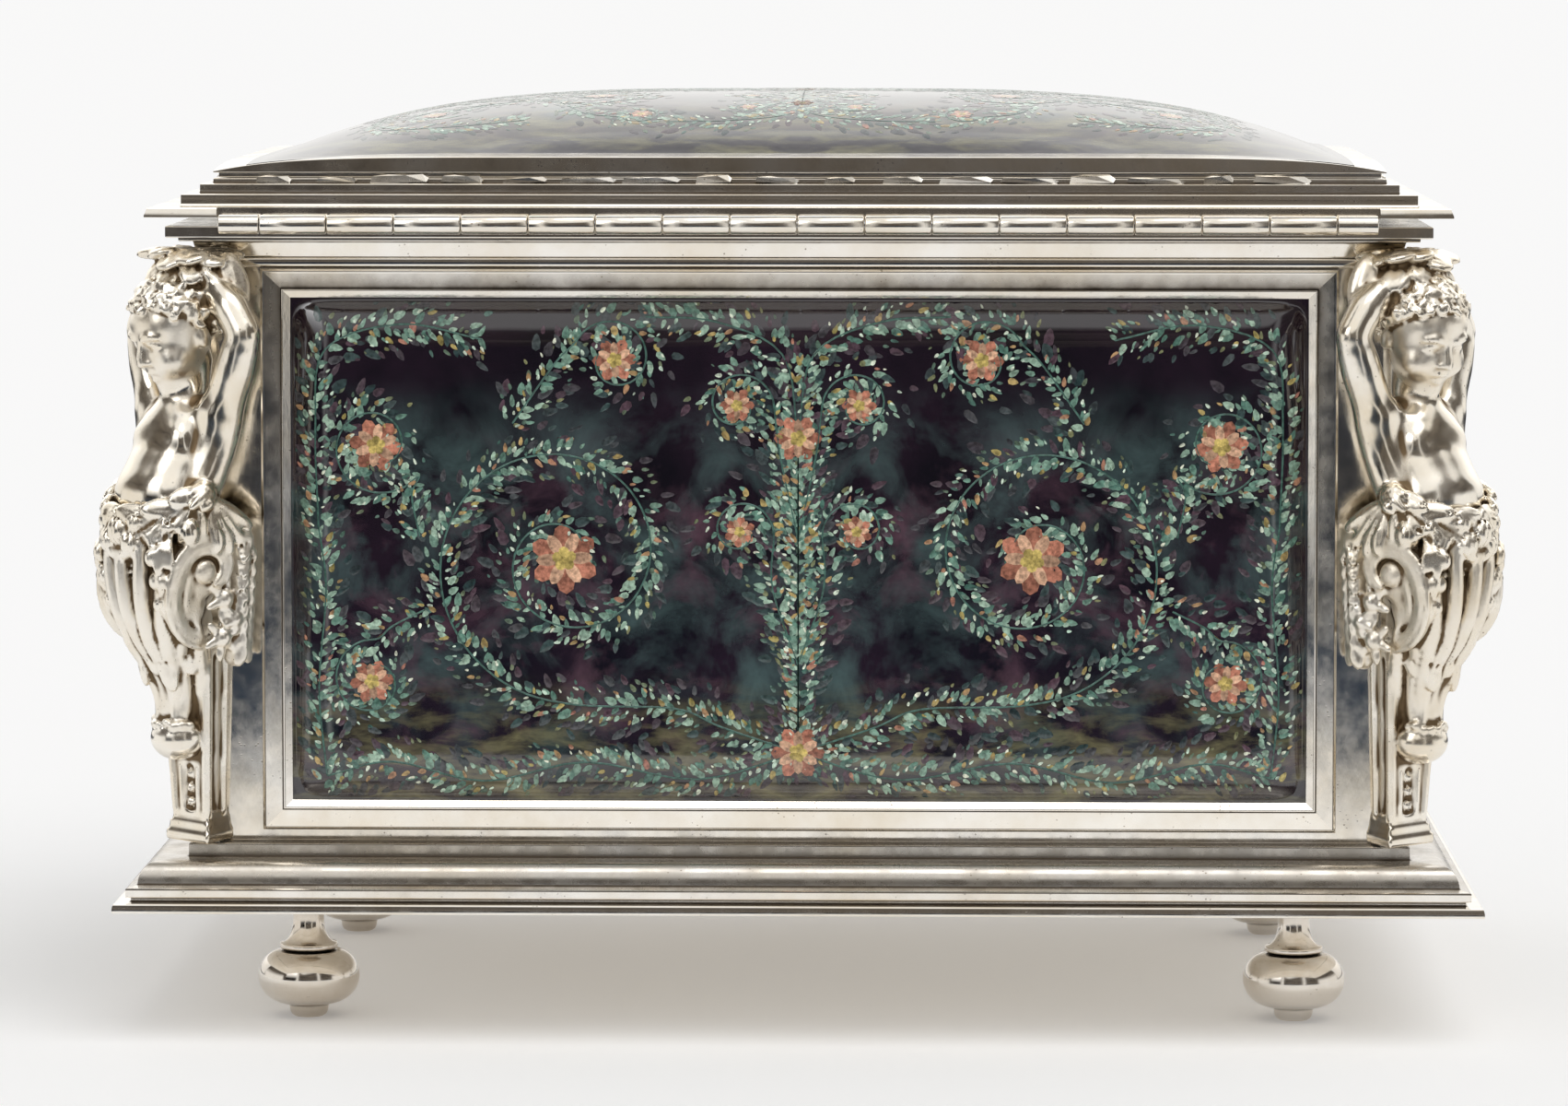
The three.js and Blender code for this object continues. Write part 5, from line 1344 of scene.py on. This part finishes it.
face = (front > 1.5) & (up > -8) & (up < 3.2) & (np.abs(side) < 6)
figure_hollow[face] = np.clip(sunk[face, 0] / 0.022 - 0.1, 0, 0.5)
nearest = np.clip(np.rint((figure_points - block_low) / SAMPLE).astype(int), 0, block_count - 1)
figure_dull = dulled[tuple(nearest.T)][:, None]
for _ in range(2):
    figure_dull = 0.5 * figure_dull + 0.5 * neighbour_mean(figure_dull, edges, count)

cast_silver = silver_plate("cast_silver", polish=0.13, ripple=0.06, film=(0.20, 0.14, 0.08, 1),
                           rubbed_tone=(0.93, 0.88, 0.79, 1), worn_tone=(0.81, 0.71, 0.55, 1))
for corner, (x, y) in CORNERS.items():
    angle = math.atan2(x, -y)
    c, s = math.cos(angle), math.sin(angle)
    placed = np.stack([
        WALL_X * x + c * figure_points[:, 0] - s * figure_points[:, 1],
        WALL_Y * y + s * figure_points[:, 0] + c * figure_points[:, 1], CROWN + figure_points[:, 2]], 1)
    piece(f"figure_{corner}", placed, figure_faces.tolist(), cast_silver, "body", crease=180,
          hollow=figure_hollow, dull=figure_dull[:, 0])

# Lock: a steel case let in behind the cornice with a sliding bolt, and a silvered escutcheon pinned round
# the keyhole. They have the frame's shapes with their outer edges eased by a file.
def softened(name, finish, body, ease):
    """A copy of a CAD node with its loose triangles joined and its outer edges rounded."""
    shape = bmesh.new()
    shape.from_mesh(nodes[name].data)
    bmesh.ops.remove_doubles(shape, verts=shape.verts, dist=0.002 * MM)
    bmesh.ops.dissolve_limit(shape, angle_limit=math.radians(1), verts=shape.verts, edges=shape.edges)
    outer = [e for e in shape.edges
             if len(e.link_faces) == 2 and e.calc_face_angle_signed() > math.radians(30)]
    bmesh.ops.bevel(shape, geom=outer, offset=ease * MM, offset_type="OFFSET", segments=2, profile=0.5,
                    affect="EDGES", clamp_overlap=True)
    points = [v.co / MM for v in shape.verts]
    shape.verts.index_update()
    faces = [[v.index for v in f.verts] for f in shape.faces]
    shape.free()
    piece(name, points, faces, finish, body, crease=20)


softened("lock_case", steel, "body", 0.2)
softened("lock_bolt", steel, "bolt", 0.12)
softened("keyhole_escutcheon", moulded_silver, "body", 0.15)


# Lining: card panels padded and covered with dark red velvet, on the four walls and the floor. The panel
# at the lock is cut away round the lock's case.
def pile_velvet(name):
    """Short dark red pile, brushed into lighter and darker patches."""
    finish, tree, coords = new_finish(name)
    brushed = noise(tree, coords, 60.0, 4.0, Distortion=0.6)
    pile = noise(tree, coords, 5200.0, 2.0)
    nap = ramp(tree, brushed, 0.35, 0.68)
    deep = mixed(tree, nap, (0.060, 0.004, 0.008, 1), (0.135, 0.012, 0.020, 1))
    tips = ramp(tree, pile, 0.45, 0.7, end=0.55)
    colour = mixed(tree, tips, deep, (0.19, 0.022, 0.033, 1))
    tufted = bump(tree, pile, 0.8, 0.00015)
    swept = bump(tree, brushed, 0.35, 0.0006, Normal=tufted)
    surface(tree, {"Base Color": colour, "Normal": swept, "Roughness": 0.92, "Specular IOR Level": 0.15,
                   "Sheen Weight": 0.75, "Sheen Roughness": 0.35, "Sheen Tint": (0.75, 0.20, 0.22, 1)})
    return finish


def pad_lines(half, spacing=2.6, edge=2.4):
    """Grid lines over a pad, close together along its rounded edge."""
    rim = half - edge * (1 - np.cos(np.linspace(0, math.pi / 2, 7)))
    inner = np.linspace(-rim[-1], rim[-1], max(int(2 * rim[-1] / spacing), 4))
    return np.concatenate([-rim, inner[1:-1], rim[::-1]])


def puff(u, v, half_u, half_v, thick, seed):
    """Thickness of a pad: full in the middle, drawn in round its edge, and a little uneven by hand."""
    a, b = np.clip(half_u - np.abs(u), 0, None), np.clip(half_v - np.abs(v), 0, None)
    close = np.minimum(a, b) / (1 + 0.25 * np.exp(-np.abs(a - b) / 3))
    fall = np.sqrt(np.clip(1 - (1 - np.clip(close / 2.2, 0, 1)) ** 2, 0, 1))
    drawn = 0.10 * np.exp(-close / 7) * np.sin(0.42 * (u + v) + seed) * np.sin(0.37 * (u - v))
    uneven = 0.045 * (np.sin(0.11 * u + seed) + np.sin(0.13 * v + 2 * seed) + np.sin(0.07 * (u + v)))
    return thick * np.clip((0.42 + 0.58 * fall) * (0.94 + drawn + uneven * 0.4), 0.1, 1.0)


def cad_room(name):
    """Lower and upper corner of a CAD node's box, in millimetres."""
    return [np.array(c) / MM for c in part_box(name)]


red_velvet = pile_velvet("red_velvet")
low, high = cad_room("lining_floor")
half_u, half_v = (high[0] - low[0]) / 2, (high[1] - low[1]) / 2
points, faces = slab(pad_lines(half_u), pad_lines(half_v),
                     lambda u, v: puff(u, v, half_u, half_v, high[2] - low[2], 0.4), lambda u, v: 0.0)
points[:, 2] += low[2]
piece("lining_floor", points, faces, red_velvet, "body", crease=70)
for side, (quarters, _, _) in SIDES.items():
    corners = turn_points(cad_room(f"lining_{side}"), -quarters % 4)
    low, high = corners.min(0), corners.max(0)
    half_u, half_v, thick = (high[0] - low[0]) / 2, (high[2] - low[2]) / 2, high[1] - low[1]
    flat, faces = slab(pad_lines(half_u), pad_lines(half_v),
                       lambda u, v: puff(u, v, half_u, half_v, thick, 1.0 + quarters), lambda u, v: 0.0)
    points = np.stack([flat[:, 0], low[1] + flat[:, 2], (low[2] + high[2]) / 2 + flat[:, 1]], 1)
    points = turn_points(points, quarters)
    if side == "front":
        room_low, room_high = cad_room("lock_case")
        points, faces = pierced(points, faces, brick(room_low - (0.3, 0.3, 0.3), room_high + (0.3, 3, 5)))
    piece(f"lining_{side}", points, faces, red_velvet, "body", crease=70)

# Hinge: two strips of silvered brass rolled by turns into knuckles that share a steel pin. The body's leaf
# lies on the cornice and the lid's leaf under the lid moulding, both soldered.
HINGE_Y, HINGE_Z, HINGE_LENGTH, BARREL, BORE = -64.9, 125.7, 176.92, 1.5, 0.95
KNUCKLE_PITCH, KNUCKLE_COUNT, KNUCKLE_END, KNUCKLE_GAP = 10.27, 16, 6.3, 0.15
LEAF_SHEET, LEAF_NEAR, LEAF_FAR = 0.5, -63.1, -57.1


def knuckle_tree():
    """Node tree that sets a knuckle and its tongue on each point, as long as the point says, on one sheet."""
    tree, given = new_growth("hinge_knuckles", Geometry="Geometry", Knuckle="Object", Tongue="Object",
                             Sheet="Object")
    length = node(tree, "GeometryNodeInputNamedAttribute", {"Name": "length"}, data_type="FLOAT").outputs[0]
    stretch = node(tree, "ShaderNodeCombineXYZ", {0: length, 1: 1.0, 2: 1.0}).outputs[0]
    rows = [placed_copies(tree, given["Geometry"], given[label], Scale=stretch)
            for label in ("Knuckle", "Tongue")]
    sheet = node(tree, "GeometryNodeObjectInfo", {"Object": given["Sheet"]}).outputs["Geometry"]
    return end_growth(tree, (*rows, sheet), given["Material"])


hinge_silver = silver_plate("hinge_silver", polish=0.12, ripple=0.12)
roll_angles = np.linspace(0, 2 * math.pi, 28, endpoint=False)
tube_end = [(-0.5, BORE), (-0.5, 1.32), (-0.494, 1.43), (-0.482, BARREL)]
tube = tube_end + [(-x, r) for x, r in reversed(tube_end)]
points = [(x / MM, r * math.cos(a), r * math.sin(a)) for x, r in tube for a in roll_angles]
knuckle = plain_object("knuckle", np.array(points) * MM, looped(len(tube), len(roll_angles)))
lengths = np.array([KNUCKLE_END, *[KNUCKLE_PITCH] * KNUCKLE_COUNT, KNUCKLE_END])
middles = np.cumsum(lengths) - lengths / 2 - HINGE_LENGTH / 2
knuckles = knuckle_tree()
for leaf_of, first, sheet_bottom in (("body", 0, 125.35), ("lid", 1, 126.15)):
    start = plain_object("knuckle_row", [(x * MM, HINGE_Y * MM, HINGE_Z * MM) for x in middles[first::2]], [])
    mark(start, "length", (lengths[first::2] - KNUCKLE_GAP) * MM)
    lift = sheet_bottom - HINGE_Z
    points, faces = brick((-0.5 / MM, 1.15, lift), (0.5 / MM, 1.85, lift + LEAF_SHEET))
    tongue = plain_object("tongue", np.array(points) * MM, faces)
    points, faces = brick((-HINGE_LENGTH / 2, LEAF_NEAR, sheet_bottom),
                          (HINGE_LENGTH / 2, LEAF_FAR, sheet_bottom + LEAF_SHEET))
    sheet = plain_object("sheet", np.array(points) * MM, faces)
    hinge_leaf = grown(f"hinge_leaf_{leaf_of}", start, knuckles, {
        "Knuckle": knuckle, "Tongue": tongue, "Sheet": sheet, "Material": hinge_silver})
    ready(hinge_leaf, f"hinge_leaf_{leaf_of}", leaf_of)
    for spent in (tongue, sheet):
        bpy.data.objects.remove(spent)
bpy.data.objects.remove(knuckle)
softened("hinge_pin", steel, "body", 0.1)

# Lid moulding: four mitred lengths of silvered moulding, a wide plate with a bevelled edge and two steps
# above it. The hinge side is notched for the knuckles.
LID_BOTTOM = 126.7
lid_section, lid_hollow = eased([(reach, LID_BOTTOM + up) for reach, up in [
    (-3.5, 0), (9.9, 0), (9.9, 0.3), (9.45, 1.5),
    *quarter((5.4, 1.5), (4.8, 2.0), (4.8, 1.5), 5), (4.8, 3.4), (2.15, 3.55), (2.15, 4.9), (0.3, 5.05),
    (0.3, 5.7), (-3.5, 5.7),
]], 0.18)
knuckle_room = brick((-HINGE_LENGTH / 2 - 0.3, HINGE_Y - 1.8, HINGE_Z - BARREL),
                     (HINGE_LENGTH / 2 + 0.3, HINGE_Y + 1.8, LID_BOTTOM + 1.6))
for side in SIDES:
    points, faces = mitred(lid_section, side)
    hollow = lid_hollow * 2
    if side == "back":
        points, faces, hollow = notched(points, faces, hollow, knuckle_room)
    piece(f"lid_moulding_{side}", points, faces, moulded_silver, "lid", hollow=hollow)

# Bezel: a silver rim that arches along each side, soldered up as one closed loop. It stands on the lid
# moulding on a narrow neck, and its flat lip holds the enamel down.
BEZEL_X, BEZEL_Y, LID_TOP = 90.3, 55.3, 132.4


def arch_height(x, y):
    """Height of the bezel's upper edge."""
    return LID_TOP + 1.2 + 2.2 * (1 - np.abs(x / BEZEL_X) ** 9) + 1.0 * (1 - np.abs(y / BEZEL_Y) ** 5)


rim = []
for x, y, along_x, along_y, steps in ((1, -1, 0, 1, 36), (1, 1, -1, 0, 56), (-1, 1, 0, -1, 36),
                                      (-1, -1, 1, 0, 56)):
    for k in range(steps):
        shift = 1 - math.cos(math.pi * k / steps)
        rim.append(((x + along_x * shift) * BEZEL_X, (y + along_y * shift) * BEZEL_Y))
points, bezel_hollow = [], []
for x, y in rim:
    top = arch_height(x, y)
    bezel_section, hollow = eased([
        (-2.0, LID_TOP + 0.1), (-0.8, LID_TOP + 0.1), (-0.8, LID_TOP + 0.85), (0, LID_TOP + 0.85),
        (0, top - 0.1), (-6.2, top + 0.3), (-6.2, top - 0.3), (-2.0, top - 0.6)], 0.12)
    points += [(x * (1 + reach / BEZEL_X), y * (1 + reach / BEZEL_Y), z) for reach, z in bezel_section]
    bezel_hollow += hollow
piece("lid_bezel", points, looped(len(rim), len(bezel_section)), moulded_silver, "lid",
      hollow=bezel_hollow)

# Tabs: scraps of thin silvered sheet, cut and bent by hand and each a little different. They are crimped
# in the gap under the bezel to hold its neck.
def tab_tree():
    """Node tree that sets a tab on each point, turned as the point says and bent by chance."""
    tree, given = new_growth("crimped_tabs", Geometry="Geometry", Tab="Object", Seed="Int")
    roll = dice(tree, given["Seed"])
    facing = node(tree, "GeometryNodeInputNamedAttribute", {"Name": "facing"}, data_type="FLOAT").outputs[0]
    heading = math_node(tree, "ADD", facing, roll(-0.06, 0.06, 3))
    turn = node(tree, "ShaderNodeCombineXYZ", {
        0: roll(-0.35, 0.05, 1), 1: roll(-0.05, 0.05, 2), 2: heading}).outputs[0]
    size = node(tree, "ShaderNodeCombineXYZ", {
        0: roll(0.55, 1.15, 4), 1: 1.0, 2: roll(0.6, 1.0, 5)}).outputs[0]
    row = placed_copies(tree, given["Geometry"], given["Tab"], Rotation=turn, Scale=size)
    return end_growth(tree, (row,), given["Material"])


crimped = silver_plate("crimped_silver", polish=0.2, ripple=0.9)
tab_outline = [(-3.9, 0, 0), (3.7, 0, 0), (4.1, -0.1, 0.6), (3.2, 0.12, 1.25), (0.9, -0.12, 1.1),
               (-1.4, 0.14, 1.3), (-3.6, -0.05, 1.0)]
points = np.array([(x, y + depth, z) for depth in (0, 0.22) for x, y, z in tab_outline]) * MM
tab = plain_object("tab", points, capped(len(tab_outline)))
spots, facings = [], []
for quarters, run, across in SIDES.values():
    row = [(x, -across - 0.75, LID_BOTTOM + 5.08) for x in np.arange(9.0 - run, run - 8.0, 9.7)]
    spots.append(turn_points(row, quarters) * MM)
    facings += [quarters * math.pi / 2] * len(row)
start = plain_object("tab_row", np.concatenate(spots), [])
mark(start, "facing", facings)
tabs = grown("lid_tabs", start, tab_tree(), {"Tab": tab, "Seed": 4, "Material": crimped})
bpy.data.objects.remove(tab)
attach(tabs, "lid")

# Lid enamel: a domed copper plaque, fired and painted like the panels. It swells from a border that is
# tucked under the bezel's lip.
DOME_X, DOME_Y, DOME_TUCK, DOME_SHEET = 84.1, 49.1, 1.6, 1.4


def dome_height(x, y):
    swell_x = (1 - np.minimum(np.abs(x) / (DOME_X - 0.3), 1) ** 3.6) ** 1.1
    swell_y = (1 - np.minimum(np.abs(y) / (DOME_Y - 0.3), 1) ** 3.6) ** 1.1
    return arch_height(x, y) - 0.45 + 8.5 * swell_x * swell_y


def dome_lines(half, steps):
    even = np.linspace(-1, 1, steps)
    spread = np.sign(even) * (1 - (1 - np.abs(even)) ** 1.7)
    return np.concatenate([[-half - DOME_TUCK], spread * (half - 0.3), [half + DOME_TUCK]])


points, faces = slab(dome_lines(DOME_X, 90), dome_lines(DOME_Y, 64), dome_height,
                     lambda x, y: dome_height(x, y) - DOME_SHEET)
dome = piece("lid_enamel_dome", points, faces, aubergine, "lid", crease=50)
lay_flat(dome, points[:, 0], -np.abs(points[:, 1]), DOME_Y)
half_way = (DOME_Y - 9) / 2
stems, blossoms = scroll_design(DOME_X - 14, half_way)
quarter_signs = [(x, y) for x in (-1, 1) for y in (-1, 1)]
stems = [(line + (0, half_way)) * signs for line in stems for signs in quarter_signs]
blossoms = [(x * across, y * (up + half_way), radius) for across, up, radius in blossoms
            for x, y in quarter_signs]


def on_dome(at):
    x, y = np.clip(at[:, 0], 1 - DOME_X, DOME_X - 1), np.clip(at[:, 1], 1 - DOME_Y, DOME_Y - 1)
    return np.stack([x, y, dome_height(x, y) + 0.3 * np.maximum(at[:, 2], 0.03)], 1)


painted("painting_lid", stems, blossoms, on_dome, "lid")
bpy.data.objects.remove(dab)


# Lid board, pad and staple: a card board behind the plaque, covered with dark red paper, with a velvet pad
# sewn over wadding and glued to it. The lock's steel staple hangs from a small plate at the moulding.
def covered_card(name):
    """Dark red paper over card, with fibres and a rubbed bloom."""
    finish, tree, coords = new_finish(name)
    drawn = node(tree, "ShaderNodeMapping", {"Vector": coords, "Scale": (300.0, 2400.0, 900.0)}).outputs[0]
    fibre = noise(tree, drawn, 1.0, 4.0)
    bloom = noise(tree, coords, 90.0, 4.0)
    share = math_node(tree, "MULTIPLY", fibre, bloom)
    colour = mixed(tree, ramp(tree, share, 0.12, 0.42), (0.055, 0.012, 0.014, 1), (0.16, 0.055, 0.05, 1))
    rough = ramp(tree, bloom, start=0.62, end=0.85)
    laid = bump(tree, fibre, 0.5, 0.00005)
    surface(tree, {"Base Color": colour, "Roughness": rough, "Normal": laid})
    return finish


softened("lid_board", covered_card("covered_card"), "lid", 0.25)
low, high = cad_room("lid_pad")
half_u, half_v = (high[0] - low[0]) / 2, (high[1] - low[1]) / 2


def pad_depth(u, v):
    crown = 1.6 * (1 - (1 - (u / half_u) ** 4) * (1 - (v / half_v) ** 4))
    return puff(u, v, half_u, half_v, high[2] - low[2] - crown, 2.2)


points, faces = slab(pad_lines(half_u), pad_lines(half_v), pad_depth, lambda u, v: 0.0)
points[:, 2] = high[2] - points[:, 2]
piece("lid_pad", points, faces, red_velvet, "lid", crease=70)
softened("lid_staple", steel, "lid", 0.15)
